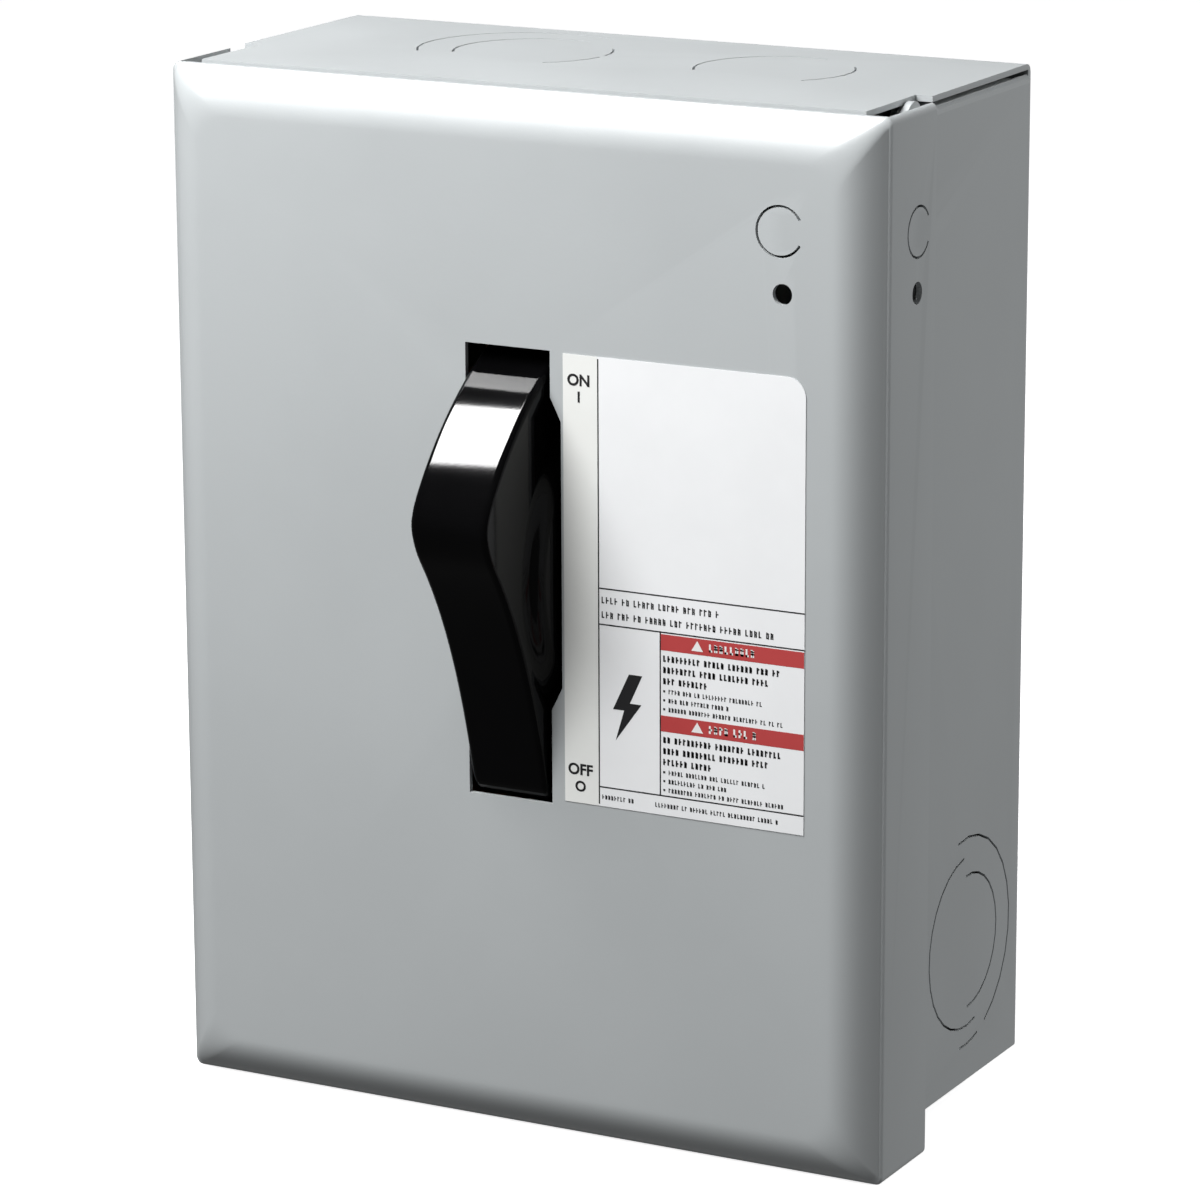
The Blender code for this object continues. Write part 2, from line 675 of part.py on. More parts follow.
def make_hinges(pivot):
    hinge = (HINGE_Y, HINGE_Z)
    for side, word in ((-1, "left"), (1, "right")):
        front = ARM_FRONT_Y + SHEET
        outline = [(ARM_FRONT_Y, ARM_TAB_Z[1]), (ARM_FRONT_Y, ARM_TAB_Z[0]), (front, ARM_TAB_Z[0])]
        outline += arc(hinge, ARM_EYE_RADIUS, -60, 120, 10)
        bore = circle(hinge, HINGE_PIN_RADIUS + GAP, 20)
        arm = make_plate(
            "cover_hinge_arm_" + word, "X", outline, mirrored(ARM_X, side), ZINC_STEEL, [bore]
        )
        tab_y = (ARM_FRONT_Y, front + GAP)
        tab = make_box("arm_tab_" + word, mirrored(ARM_TAB_X, side), tab_y, ARM_TAB_Z)
        pad_y = (COVER_INNER_Y + GAP, front)
        pad_z = (ARM_TAB_Z[0] + GAP, ARM_TAB_Z[1] - GAP)
        pad = make_box("arm_pad_" + word, mirrored(ARM_PAD_X, side), pad_y, pad_z)
        fuse(arm, tab, pad)
        ride(pivot, arm)
        pin_x = mirrored(HINGE_PIN_X, side)
        pin = make_cylinder("hinge_pin_" + word, "X", hinge, HINGE_PIN_RADIUS, pin_x, ZINC_STEEL, 20)
        head_x = mirrored(HINGE_HEAD_X, side)
        fuse(pin, make_cylinder("pin_head_" + word, "X", hinge, HINGE_HEAD_RADIUS, head_x, segments=20))


def drum_radius(degrees):
    """The handle's rim above the nose: a drum that grows towards the nose."""
    reach = (NOSE_START_DEG - degrees) / (NOSE_START_DEG - NOSE_DEG)
    return DRUM_RADIUS + NOSE_GAIN * min(max(reach, 0.0), 1.0) ** 2


def scoop_point(share):
    """The finger scoop below the nose, a quadratic curve."""
    weights = ((1 - share) ** 2, 2 * share * (1 - share), share**2)
    controls = (SCOOP_START, SCOOP_PULL, SCOOP_END)
    return tuple(sum(w * point[k] for w, point in zip(weights, controls)) for k in (0, 1))


def handle_rim(inset):
    """Rim points from the bottom up, as (forward, up) from the shaft, moved in by inset."""
    rim = [scoop_point(1 - step / 9) for step in range(10)]
    bottom = math.degrees(math.atan2(SCOOP_END[1], SCOOP_END[0]))
    rim = arc((0.0, 0.0), math.hypot(*SCOOP_END), DRUM_BOTTOM_DEG, bottom, 2)[:-1] + rim
    for step in range(13):
        degrees = NOSE_DEG - 5 + (DRUM_TOP_DEG - NOSE_DEG + 5) * step / 12
        radius = drum_radius(degrees)
        angle = math.radians(degrees)
        rim.append((radius * math.cos(angle), radius * math.sin(angle)))
    return [(a * (1 - inset / math.hypot(a, b)), b * (1 - inset / math.hypot(a, b))) for a, b in rim]


def from_shaft(points):
    return [(SHAFT_Y - forward, SHAFT_Z + up) for forward, up in points]


def make_handle(pivot):
    shaft = (SHAFT_Y, SHAFT_Z)
    width = around(0.0, DRUM_HALF_WIDTH)
    rim = from_shaft([(0.0, 0.0), *handle_rim(0.0)])
    handle = make_plate("operating_handle", "X", rim, width, BLACK_PLASTIC)
    round_edges(handle, HANDLE_EDGE, 2, 60)
    middle = math.radians((DRUM_TOP_DEG + DRUM_BOTTOM_DEG) / 2)
    rear = Matrix.Translation(Vector((0.0, SHAFT_Y, SHAFT_Z)) * MM) @ Matrix.Rotation(-middle, 4, "X")
    for side, word in ((-1, "left"), (1, "right")):
        radii = (CHEEK_ROOT_RADIUS, CHEEK_RADIUS)[::side]
        span = mirrored((DRUM_HALF_WIDTH - GAP, CHEEK_HALF_WIDTH), side)
        cheek = make_cylinder("cheek_" + word, "X", shaft, radii[0], span, None, 40, radii[1])
        half_x = mirrored((0.0, 2 * CHEEK_HALF_WIDTH), side)
        half = make_box("cheek_rear_" + word, half_x, REAR_HALF_SPACE, around(0.0, REAR_HALF_SPACE[1]))
        half.data.transform(rear)
        cut(cheek, half)
        fuse(handle, cheek)
    fuse(handle, make_cylinder("handle_hub", "X", shaft, HUB_RADIUS, width, segments=28))
    inner = handle_rim(HANDLE_WALL)
    root = HUB_RADIUS + SHEET
    lowest = DRUM_BOTTOM_DEG - CAVITY_SPREAD_DEG
    highest = DRUM_TOP_DEG + CAVITY_SPREAD_DEG
    cavity = arc((0.0, 0.0), root, highest, lowest, 14)
    cavity += arc((0.0, 0.0), math.hypot(*inner[0]), lowest, lowest + CAVITY_SHOULDER_DEG, 1)
    cavity += inner
    cavity += arc((0.0, 0.0), math.hypot(*inner[-1]), DRUM_TOP_DEG + CAVITY_SHOULDER_DEG, highest, 2)
    hollow = around(0.0, HANDLE_CAVITY_HALF_WIDTH)
    cut(handle, make_plate("handle_cavity", "X", from_shaft(cavity), hollow))
    bore = around(0.0, CHEEK_HALF_WIDTH + SHEET)
    cut(handle, make_cylinder("handle_bore", "X", shaft, SHAFT_RADIUS + GAP, bore, segments=24))
    ride(pivot, handle)


def crank_pin(centre):
    angle = math.radians(CRANK_DEG)
    return (centre[0] - CRANK_LENGTH * math.cos(angle), centre[1] + CRANK_LENGTH * math.sin(angle))


def make_crank(name, centre, hub_radius, bore_radius, pivot):
    pin = crank_pin(centre)
    holes = [circle(centre, bore_radius), circle(pin, LINK_PIN_RADIUS + GAP, 16)]
    outline = capsule(centre, hub_radius, pin, CRANK_EYE_RADIUS)
    crank = make_plate(name, "X", outline, CRANK_X, ZINC_STEEL, holes)
    ride(pivot, crank)


def make_link_pin(name, centre, pivot):
    pin = make_cylinder(name, "X", centre, LINK_PIN_RADIUS, LINK_PIN_X, ZINC_STEEL, 16)
    fuse(pin, make_cylinder(name + "_head", "X", centre, LINK_HEAD_RADIUS, LINK_HEAD_X, segments=16))
    ride(pivot, pin)


def make_spring():
    """The toggle spring: a coil round the shaft with one leg down and one leg towards the base."""
    curve = bpy.data.curves.new("toggle_spring", "CURVE")
    curve.dimensions = "3D"
    curve.bevel_depth = SPRING_WIRE * MM
    curve.bevel_resolution = 2
    curve.use_fill_caps = True
    total = SPRING_STEPS * SPRING_TURNS
    points = [(SPRING_X[0], SHAFT_Y + SPRING_LEG, SHAFT_Z + SPRING_RADIUS)]
    for step in range(total + 1):
        angle = 2 * math.pi * step / SPRING_STEPS
        x = SPRING_X[0] + (SPRING_X[1] - SPRING_X[0]) * step / total
        y = SHAFT_Y + SPRING_RADIUS * math.sin(angle)
        z = SHAFT_Z + SPRING_RADIUS * math.cos(angle)
        points.append((x, y, z))
    points.append((SPRING_X[1], SHAFT_Y - SPRING_LEG, SHAFT_Z + SPRING_RADIUS))
    spline = curve.splines.new("POLY")
    spline.points.add(len(points) - 1)
    for target, point in zip(spline.points, points):
        target.co = (*(value * MM for value in point), 1.0)
    curve_to_mesh("toggle_spring", curve, Matrix.Identity(4), ZINC_STEEL)


def make_mechanism(handle_pivot, link_pivot, rotor_pivot):
    shaft = (SHAFT_Y, SHAFT_Z)
    rotor = (ROTOR_Y, ROTOR_Z)
    ride(handle_pivot, make_cylinder("handle_shaft", "X", shaft, SHAFT_RADIUS, SHAFT_X, ZINC_STEEL, 28))
    make_crank("handle_crank", shaft, HANDLE_CRANK_HUB_RADIUS, SHAFT_RADIUS + GAP, handle_pivot)
    make_crank("rotor_crank", rotor, ROTOR_CRANK_HUB_RADIUS, ROTOR_RADIUS + GAP, rotor_pivot)
    first = crank_pin(shaft)
    second = crank_pin(rotor)
    holes = [circle(centre, LINK_PIN_RADIUS + GAP, 16) for centre in (first, second)]
    outline = capsule(first, LINK_HALF_WIDTH, second, LINK_HALF_WIDTH)
    ride(link_pivot, make_plate("drive_link", "X", outline, LINK_X, ZINC_STEEL, holes))
    make_link_pin("link_pin_front", first, handle_pivot)
    make_link_pin("link_pin_rear", second, rotor_pivot)
    make_spring()


def make_frames():
    shaft = (SHAFT_Y, SHAFT_Z)
    rotor = (ROTOR_Y, ROTOR_Z)
    foot_y = (BASE_Y[0] - GAP - FRAME_FOOT_THICKNESS, BASE_Y[0] - GAP)
    for side, word in ((-1, "left"), (1, "right")):
        outline = [(foot_y[1], FRAME_Z[0]), (foot_y[1], FRAME_Z[1])]
        outline += arc(shaft, FRAME_TOP_RADIUS, 70, 290, 12)
        holes = [circle(shaft, SHAFT_RADIUS + GAP), circle(rotor, ROTOR_RADIUS + GAP, 28)]
        name = "mechanism_frame_" + word
        frame = make_plate(name, "X", outline, mirrored(FRAME_X, side), ZINC_STEEL, holes)
        foot_z = (FRAME_Z[0] + GAP, FRAME_Z[1] - GAP)
        fuse(frame, make_box("frame_foot_" + word, mirrored(FRAME_FOOT_X, side), foot_y, foot_z))
        bearing_z = around(ROTOR_Z, BEARING_HALF_WIDTH)
        block = rectangle((BEARING_FRONT_Y, BASE_Y[0] - GAP), bearing_z)
        bearing_x = mirrored(BEARING_X, side)
        hole = [circle(rotor, ROTOR_RADIUS + GAP, 28)]
        bearing = make_plate("rotor_bearing_" + word, "X", block, bearing_x, BASE_PLASTIC, hole)
        round_edges(bearing, SMALL_ROUNDING, 1)


def make_rotor(pivot):
    rotor = (ROTOR_Y, ROTOR_Z)
    span = around(0.0, ROTOR_HALF_LENGTH)
    bar = make_cylinder("rotor_bar", "X", rotor, ROTOR_RADIUS, span, ROTOR_PLASTIC, 32)
    for side, word in ((-1, "left"), (1, "right")):
        hub_x = around(POLE_X * side, ROTOR_HUB_HALF_LENGTH)
        fuse(bar, make_cylinder("rotor_hub_" + word, "X", rotor, ROTOR_HUB_RADIUS, hub_x, segments=32))
    for side, word, number in ((-1, "left", 1), (1, "right", 2)):
        x = POLE_X * side
        slot_x = around(x, BLADE_HALF_THICKNESS + GAP)
        slot_y = around(ROTOR_Y, BLADE_HALF_WIDTH + GAP)
        cut(bar, make_box("blade_slot_" + word, slot_x, slot_y, around(ROTOR_Z, BLADE_HALF_LENGTH)))
        blade_x = around(x, BLADE_HALF_THICKNESS)
        blade_y = around(ROTOR_Y, BLADE_HALF_WIDTH)
        blade_z = around(ROTOR_Z, BLADE_HALF_LENGTH)
        blade = make_box(f"moving_blade_{number}", blade_x, blade_y, blade_z, COPPER)
        ride(pivot, round_edges(blade, BLADE_ROUNDING, 1))
    ride(pivot, bar)


def make_screw(name, centre, head_front_y, head_radius, head_height, tip_y, radius, look=ZINC_STEEL):
    """A slotted screw along Y: its head starts at head_front_y and its tip is at tip_y."""
    head_y = (head_front_y, head_front_y + head_height)
    screw = make_cylinder(name, "Y", centre, head_radius, head_y, look, 20)
    shank_y = (head_y[1] - GAP, tip_y)
    fuse(screw, make_cylinder(name + "_shank", "Y", centre, radius, shank_y, segments=16))
    slot_x = around(centre[0], head_radius + GAP)
    slot_z = around(centre[1], SCREW_SLOT / 2)
    slot_y = (head_front_y - GAP, head_front_y + head_height / 2)
    cut(screw, make_box(name + "_slot", slot_x, slot_y, slot_z))


def make_base():
    width = (-BASE_HALF_WIDTH, BASE_HALF_WIDTH)
    base = round_edges(make_box("switch_base", width, BASE_Y, BASE_Z, BASE_PLASTIC), BASE_ROUNDING, 1)
    for side, word in ((-1, "left"), (1, "right")):
        inner_x = mirrored(BARRIER_X, side)
        outer_x = mirrored(EDGE_BARRIER_X, side)
        fuse(
            base,
            make_box("lower_barrier_" + word, inner_x, BARRIER_Y, LOWER_BARRIER_Z),
            make_box("upper_barrier_" + word, inner_x, BARRIER_Y, UPPER_BARRIER_Z),
            make_box("edge_barrier_" + word, outer_x, EDGE_BARRIER_Y, LOWER_BARRIER_Z),
        )
    for number, centre in enumerate(BASE_SCREWS, start=1):
        through = (BASE_Y[0] - SHEET, -GAP)
        hole_radius = SCREW_RADIUS + GAP
        cut(base, make_cylinder(f"base_hole_{number}", "Y", centre, hole_radius, through, segments=16))
        head_y = BASE_Y[0] - GAP - SCREW_HEAD_HEIGHT
        tip_y = -SHEET - GAP
        make_screw(
            f"base_screw_{number}", centre, head_y, SCREW_HEAD_RADIUS, SCREW_HEAD_HEIGHT, tip_y, SCREW_RADIUS
        )


def make_lug(name, x, size, bottom_z):
    """A box lug with a wire hole up through it and a set screw from the front."""
    half, depth, height = size
    block_y = (LUG_BACK_Y - depth, LUG_BACK_Y)
    block_z = (bottom_z, bottom_z + height)
    lug = round_edges(make_box(name, around(x, half), block_y, block_z, ALUMINIUM), SMALL_ROUNDING, 1)
    wire_y = LUG_BACK_Y - WIRE_HOLE_RADIUS - LUG_WEB
    wire_z = (block_z[0] - SHEET, block_z[1] + SHEET)
    cut(lug, make_cylinder(name + "_wire", "Z", (x, wire_y), WIRE_HOLE_RADIUS, wire_z, segments=24))
    centre = (x, bottom_z + height / 2)
    thread_y = (block_y[0] - SHEET, wire_y)
    cut(lug, make_cylinder(name + "_thread", "Y", centre, LUG_SCREW_RADIUS + GAP, thread_y, segments=20))
    screw_y = (block_y[0] - LUG_SCREW_PROUD, wire_y - WIRE_HOLE_RADIUS / 2)
    screw = make_cylinder(name + "_screw", "Y", centre, LUG_SCREW_RADIUS, screw_y, ZINC_STEEL, 18)
    slot_y = (screw_y[0] - GAP, screw_y[0] + LUG_SCREW_PROUD)
    slot_x = around(x, LUG_SCREW_RADIUS + GAP)
    cut(screw, make_box(name + "_slot", slot_x, slot_y, around(centre[1], SCREW_SLOT / 2)))


def make_clip(name, x, bottom_z):
    """A fuse clip: a C that grips the ferrule, open to the front, on a foot."""
    centre = (x, FUSE_Y)
    inner = FERRULE_RADIUS + GAP
    first = -90 + CLIP_MOUTH_DEG
    last = 270 - CLIP_MOUTH_DEG
    outline = arc(centre, inner + CLIP_THICKNESS, first, last, 22) + arc(centre, inner, last, first, 22)
    span = (bottom_z, bottom_z + CLIP_LENGTH)
    clip = make_plate(name, "Z", outline, span, COPPER)
    foot_z = (span[0] + GAP, span[1] - GAP)
    fuse(clip, make_box(name + "_foot", around(x, CLIP_FOOT_HALF_WIDTH), CLIP_FOOT_Y, foot_z))


def make_fuse(number, x):
    centre = (x, FUSE_Y)
    lower = (FUSE_Z[0], FUSE_Z[0] + FERRULE_LENGTH)
    upper = (FUSE_Z[1] - FERRULE_LENGTH, FUSE_Z[1])
    tube = (lower[1] + GAP, upper[0] - GAP)
    make_cylinder(f"fuse_tube_{number}", "Z", centre, FUSE_TUBE_RADIUS, tube, FUSE_PAPER, 28)
    for word, span in (("lower", lower), ("upper", upper)):
        name = f"fuse_ferrule_{word}_{number}"
        round_edges(make_cylinder(name, "Z", centre, FERRULE_RADIUS, span, COPPER, 28), BLADE_ROUNDING, 1)


def make_contacts(number, x):
    strap_x = around(x, STRAP_HALF_WIDTH)
    line = make_box(f"line_jaw_{number}", strap_x, STRAP_Y, LINE_STRAP_Z, COPPER)
    load = make_box(f"load_jaw_{number}", strap_x, STRAP_Y, LOAD_JAW_STRAP_Z, COPPER)
    post_x = around(x, STRAP_HALF_WIDTH - GAP)
    fuse(load, make_box(f"load_post_{number}", post_x, LOAD_POST_Y, LOAD_POST_Z))
    for side, word in ((-1, "a"), (1, "b")):
        leaf = mirrored(JAW_LEAF_X, side)
        leaf_x = (x + leaf[0], x + leaf[1])
        fuse(line, make_box(f"line_leaf_{number}{word}", leaf_x, LINE_LEAF_Y, LINE_LEAF_Z))
        fuse(load, make_box(f"load_leaf_{number}{word}", leaf_x, LOAD_LEAF_Y, LOAD_LEAF_Z))
    make_box(f"load_strap_{number}", strap_x, STRAP_Y, LOAD_STRAP_Z, COPPER)


def make_poles():
    for number, x in ((1, -POLE_X), (2, POLE_X)):
        make_contacts(number, x)
        make_lug(f"line_lug_{number}", x, LINE_LUG_SIZE, LINE_LUG_Z)
        make_lug(f"load_lug_{number}", x, LOAD_LUG_SIZE, LOAD_LUG_Z)
        make_clip(f"fuse_clip_upper_{number}", x, UPPER_CLIP_Z)
        make_clip(f"fuse_clip_lower_{number}", x, LOWER_CLIP_Z)
        make_fuse(number, x)


def make_shield():
    width = (-SHIELD_HALF_WIDTH, SHIELD_HALF_WIDTH)
    shield = make_box("line_shield", width, SHIELD_Y, SHIELD_Z, SHIELD_PLASTIC)
    leg_z = (SHIELD_Z[0] + GAP, SHIELD_Z[1] - GAP)
    for side, word in ((-1, "left"), (1, "right")):
        leg_x = mirrored((SHIELD_HALF_WIDTH - GAP - SHIELD_THICKNESS, SHIELD_HALF_WIDTH - GAP), side)
        fuse(shield, make_box("shield_leg_" + word, leg_x, SHIELD_LEG_Y, leg_z))


def make_neutral():
    block = make_box("neutral_insulator", NEUTRAL_BLOCK_X, NEUTRAL_BLOCK_Y, NEUTRAL_BLOCK_Z, BASE_PLASTIC)
    round_edges(block, BASE_ROUNDING, 1)
    bar = make_box("neutral_bar", NEUTRAL_BAR_X, NEUTRAL_BAR_Y, NEUTRAL_BAR_Z, ALUMINIUM)
    middle_x = sum(NEUTRAL_BAR_X) / 2
    middle_y = sum(NEUTRAL_BAR_Y) / 2
    across = (NEUTRAL_BAR_X[0] - SHEET, NEUTRAL_BAR_X[1] + SHEET)
    for number, z in enumerate(NEUTRAL_WIRE_HOLES, start=1):
        name = f"neutral_wire_hole_{number}"
        cut(bar, make_cylinder(name, "X", (middle_y, z), NEUTRAL_HOLE_RADIUS, across, segments=16))
        thread_y = (NEUTRAL_BAR_Y[0] - SHEET, middle_y)
        name = f"neutral_thread_{number}"
        cut(bar, make_cylinder(name, "Y", (middle_x, z), SCREW_RADIUS + GAP, thread_y, segments=16))
    for number, z in enumerate(NEUTRAL_SCREWS, start=1):
        head_y = NEUTRAL_BAR_Y[0] - GAP - SCREW_HEAD_HEIGHT
        tip_y = middle_y - NEUTRAL_HOLE_RADIUS / 2
        make_screw(
            f"neutral_screw_{number}", (middle_x, z), head_y, SCREW_HEAD_RADIUS, SCREW_HEAD_HEIGHT, tip_y,
            SCREW_RADIUS,
        )


def make_ground():
    lug = make_box("ground_lug", GROUND_LUG_X, GROUND_LUG_Y, GROUND_LUG_Z, ALUMINIUM)
    round_edges(lug, SMALL_ROUNDING, 1)
    middle_x = sum(GROUND_LUG_X) / 2
    middle_y = sum(GROUND_LUG_Y) / 2
    middle_z = sum(GROUND_LUG_Z) / 2
    wire_z = (GROUND_LUG_Z[0] - SHEET, GROUND_LUG_Z[1] + SHEET)
    wire = (middle_x, middle_y)
    cut(lug, make_cylinder("ground_wire_hole", "Z", wire, GROUND_HOLE_RADIUS, wire_z, segments=20))
    thread_y = (GROUND_LUG_Y[0] - SHEET, middle_y)
    centre = (middle_x, middle_z)
    cut(lug, make_cylinder("ground_thread", "Y", centre, SCREW_RADIUS + GAP, thread_y, segments=16))
    head_y = GROUND_LUG_Y[0] - GAP - SCREW_HEAD_HEIGHT
    tip_y = middle_y - GROUND_HOLE_RADIUS / 2
    make_screw(
        "ground_screw", centre, head_y, SCREW_HEAD_RADIUS, SCREW_HEAD_HEIGHT, tip_y, SCREW_RADIUS, COPPER
    )


def make_catch():
    """A leaf spring under the body, between its knockouts, that steadies the cover's bottom lip."""
    top = -BODY_HALF_HEIGHT - GAP
    crest = (CATCH_CREST[0], COVER_BOTTOM_Z + CATCH_CREST[1])
    lip = (CATCH_LIP[0], top - CATCH_LIP[1])
    lower = [(CATCH_FOOT_Y[0], top), (CATCH_FOOT_Y[1], top), crest, lip]
    upper = [(y, z - CATCH_THICKNESS) for y, z in reversed(lower)]
    make_plate("cover_catch_spring", "X", lower + upper, CATCH_X, ZINC_STEEL)


clear_scene()
PARTS = make_collection("ac_disconnect_box")
TOOLS = make_collection("ac_disconnect_box_tools")
cover_pivot = make_pivot("cover_pivot", 0.0, HINGE_Y, HINGE_Z)
handle_pivot = make_pivot("handle_pivot", 0.0, SHAFT_Y, SHAFT_Z)
rotor_pivot = make_pivot("rotor_pivot", 0.0, ROTOR_Y, ROTOR_Z)
link_pivot = make_pivot("link_pivot", LINK_X[0], *crank_pin((SHAFT_Y, SHAFT_Z)))
make_body()
make_cover(cover_pivot)
make_label(cover_pivot)
make_hinges(cover_pivot)
make_handle(handle_pivot)
make_mechanism(handle_pivot, link_pivot, rotor_pivot)
make_frames()
make_rotor(rotor_pivot)
make_base()
make_poles()
make_shield()
make_neutral()
make_ground()
make_catch()
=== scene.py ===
"""Looks for a general-duty AC disconnect box: a grey painted steel enclosure with a formed front
cover, a glossy black rocker handle, a printed label and a fusible switch inside.

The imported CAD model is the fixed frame. The cover, the handle and the label are built again here
with more detail; every other CAD node stays and gets a procedural finish.
"""

import math
import random

import bmesh
import bpy
from mathutils import Matrix, Vector


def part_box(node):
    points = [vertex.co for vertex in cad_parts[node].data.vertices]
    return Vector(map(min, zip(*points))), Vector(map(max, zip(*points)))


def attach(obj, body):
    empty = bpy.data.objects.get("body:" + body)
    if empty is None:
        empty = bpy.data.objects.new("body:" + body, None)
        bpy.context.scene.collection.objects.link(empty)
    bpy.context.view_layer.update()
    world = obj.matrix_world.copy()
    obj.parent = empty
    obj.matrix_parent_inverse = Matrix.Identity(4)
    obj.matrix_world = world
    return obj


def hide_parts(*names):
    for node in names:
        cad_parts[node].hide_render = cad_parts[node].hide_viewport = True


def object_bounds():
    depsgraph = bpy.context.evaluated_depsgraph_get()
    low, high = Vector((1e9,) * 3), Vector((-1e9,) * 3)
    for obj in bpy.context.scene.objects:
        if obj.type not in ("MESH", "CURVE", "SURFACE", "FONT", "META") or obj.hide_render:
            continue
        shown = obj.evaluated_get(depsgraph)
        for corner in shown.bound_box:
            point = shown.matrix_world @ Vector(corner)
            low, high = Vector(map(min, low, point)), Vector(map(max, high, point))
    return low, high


MM = 0.001
WELD_DISTANCE = 0.000001
SMOOTH_DEG = 35.0
COVER_SMOOTH_DEG = 40.0
HANDLE_SMOOTH_DEG = 32.0
CIRCLE_STEPS = 48
HUB_STEPS = 72
CURVE_STEPS = 40

# Where a material's noise and pointiness change the surface, and by how much
PATCH_RANGE = (0.35, 0.65)
GLOSS_RANGE = (0.3, 0.7)
GLOSS_SPREAD = (0.9, 1.12)
SPECK_RANGE = (0.68, 0.74)
SPECK_SCALE = 0.6
SPECK_SHADE = 0.35
WEAR_RANGE = (0.53, 0.60)
WEAR_SHADE = 1.35
WAVE_SCALE = 0.6

# Cover, in millimetres and degrees. Its outside comes from the CAD cover's box.
SHEET = 1.2
RAISE = 5.5
EDGE_WIDTH = 9.0
EDGE_START_DEG = 38.0
EDGE_STEPS = 14
FLAT_MARGIN = 1.0
FRONT_CORNER = 6.0
FLANGE_ROUNDING = 1.0
FLANGE_TURN_DEG = 70.0
FLANGE_CORNER = 1.6
FLANGE_STEPS = 6
CORNER_STEPS = 8
LIP_DEPTH = 16.0
CLEARANCE = 0.3
OVERLAP = 0.1
SLIT = 0.5
# Lock rings and seal holes: X or Y, then Z and the radius; the rings run from one angle to another
FRONT_LOCK = (60.1, 81.15, 4.95)
FRONT_HOLE = (60.75, 68.85, 2.1)
FLANGE_LOCK = (-59.4, 79.75, 5.05)
FLANGE_HOLE = (-59.9, 67.75, 2.25)
LOCK_ARC = (30, 330)
SLOT_HALF_WIDTH = 9.6
SLOT_HALF_LENGTH = 46.85
SLOT_WIDE_HALF_WIDTH = 12.0
SLOT_WIDE_Z = (-16.0, 38.8)
SLOT_TAPER = 4.8

# Handle, in millimetres and degrees about its shaft
DRUM_RADIUS = 49.0
NOSE_GAIN = 4.0
NOSE_DEG = 20.0
NOSE_START_DEG = 58.0
NOSE_BLEND_DEG = 4.0
DRUM_DEG = (-70.0, 110.0)
# The scoop's three control points: (forward, up) from the shaft
SCOOP = ((48.6, 8.2), (34.0, -11.0), (25.8, -45.2))
RIM_STEPS = 150
RIM_SMOOTH_PASSES = 3
GRIP_HALF_WIDTH = 8.6
CHEEK_HALF_WIDTH = 11.0
FLARE = (30.0, 36.2)
FLARE_LEAD = 6.0
FLARE_STEPS = 8
GRIP_EDGE = 1.3
GRIP_EDGE_STEPS = 6
SHOULDER_MARGIN = 0.2
HUB_RADIUS = 11.0
HUB_HALF_WIDTH = 8.7
CORE_RADIUS = 6.0
BORE_RADIUS = 4.3
HANDLE_WALL = 4.0
HUB_WALL = 1.2
CAVITY_HALF_WIDTH = 5.4
CAVITY_SHOULDER_DEG = 12.0
CAVITY_SPREAD_DEG = 25.0
CAVITY_STEPS = 18
CAVITY_RIM_STRIDE = 4

# Label, in millimetres from its lower left corner
LABEL_FILM = 0.12
INK = 0.03
LABEL_CORNER = 4.0
LABEL_CORNER_STEPS = 12
STRIP_WIDTH = 7.7
RULE = 0.28
RULE_END = 0.4
HEADER_RULE_V = 45.1
TITLE_RULE_V = 37.7
FOOTER_RULE_V = 3.9
SYMBOL_RULE_U = 21.5
BAR_HEIGHT = 3.3
BAR_END = 0.05
BARS_V = (34.15, 17.4)
BAR_WORD_U = 11.0
BAR_WORD_V = 0.85
BAR_WORD_LENGTH = 11.5
BAR_TRIANGLE_U = 8.4
BAR_TRIANGLE_HALF_WIDTH = 1.3
BAR_TRIANGLE_V = (0.7, 2.8)
TEXT_MARGIN = 0.8
BOLT = ((14.6, 28.2), (11.0, 20.6), (13.5, 20.6), (11.6, 14.2), (17.4, 22.2), (14.8, 22.2), (17.6, 28.2))

# Placeholder text: (height, stroke) of its marks, (v, length) or (u, length) of its lines, the share
# of the width that each line of a block fills, and letters as shares of a line's height
BAR_LETTERS = (1.6, 0.42)
HEADER_LETTERS = (1.35, 0.26)
BOLD_LETTERS = (1.3, 0.36)
SMALL_LETTERS = (0.95, 0.2)
HEADER_LINES = ((42.2, 27.0), (39.2, 39.0))
FOOTER_LINES = ((STRIP_WIDTH + TEXT_MARGIN, 7.5), (SYMBOL_RULE_U - 1.0, 28.0))
FOOTER_V = 1.5
BOLD_SHARES = (0.95, 0.86, 0.4)
SMALL_SHARES = (0.78, 0.5, 0.92)
BLOCK_DROP = 2.35
BOLD_PITCH = 2.3
SMALL_PITCH = 1.85
SMALL_RAISE = 0.35
SMALL_INDENT = 1.2
BLOCK_MARGIN = 3.0
BULLET = 0.45
BULLET_LIFT = 0.25
LETTER_PITCH = 0.72
LETTER_WIDTH = 0.62
LETTER_CROSSBARS = ((0.5,), (0.0, 0.85), (0.85,), (0.4, 0.85), (0.0,))
CLOSED_LETTERS = (1, 3)
CLOSED_HEIGHT = 0.8
WORD_LETTERS = (2, 9)
WORD_GAP = 0.7
SEED = 11

# Switch marks on the strip: piece, text, height on the label, size
MARK_SHIFT = 0.3
MARK_BOLDNESS = 0.03
SWITCH_MARKS = (
    ("label_on_word", "ON", 87.0, 3.2),
    ("label_on_mark", "I", 83.6, 3.0),
    ("label_off_word", "OFF", 6.9, 3.2),
    ("label_off_mark", "O", 3.4, 3.0),
)

# Camera and light
CAMERA_AZIMUTH = 27.97
CAMERA_ELEVATION = 14.42
CAMERA_ROLL = -0.23
CAMERA_DISTANCE = 1.108
CAMERA_TARGET = (-1.7, -36.0, -8.9)
CAMERA_LENS = 159.3
SENSOR = 36.0
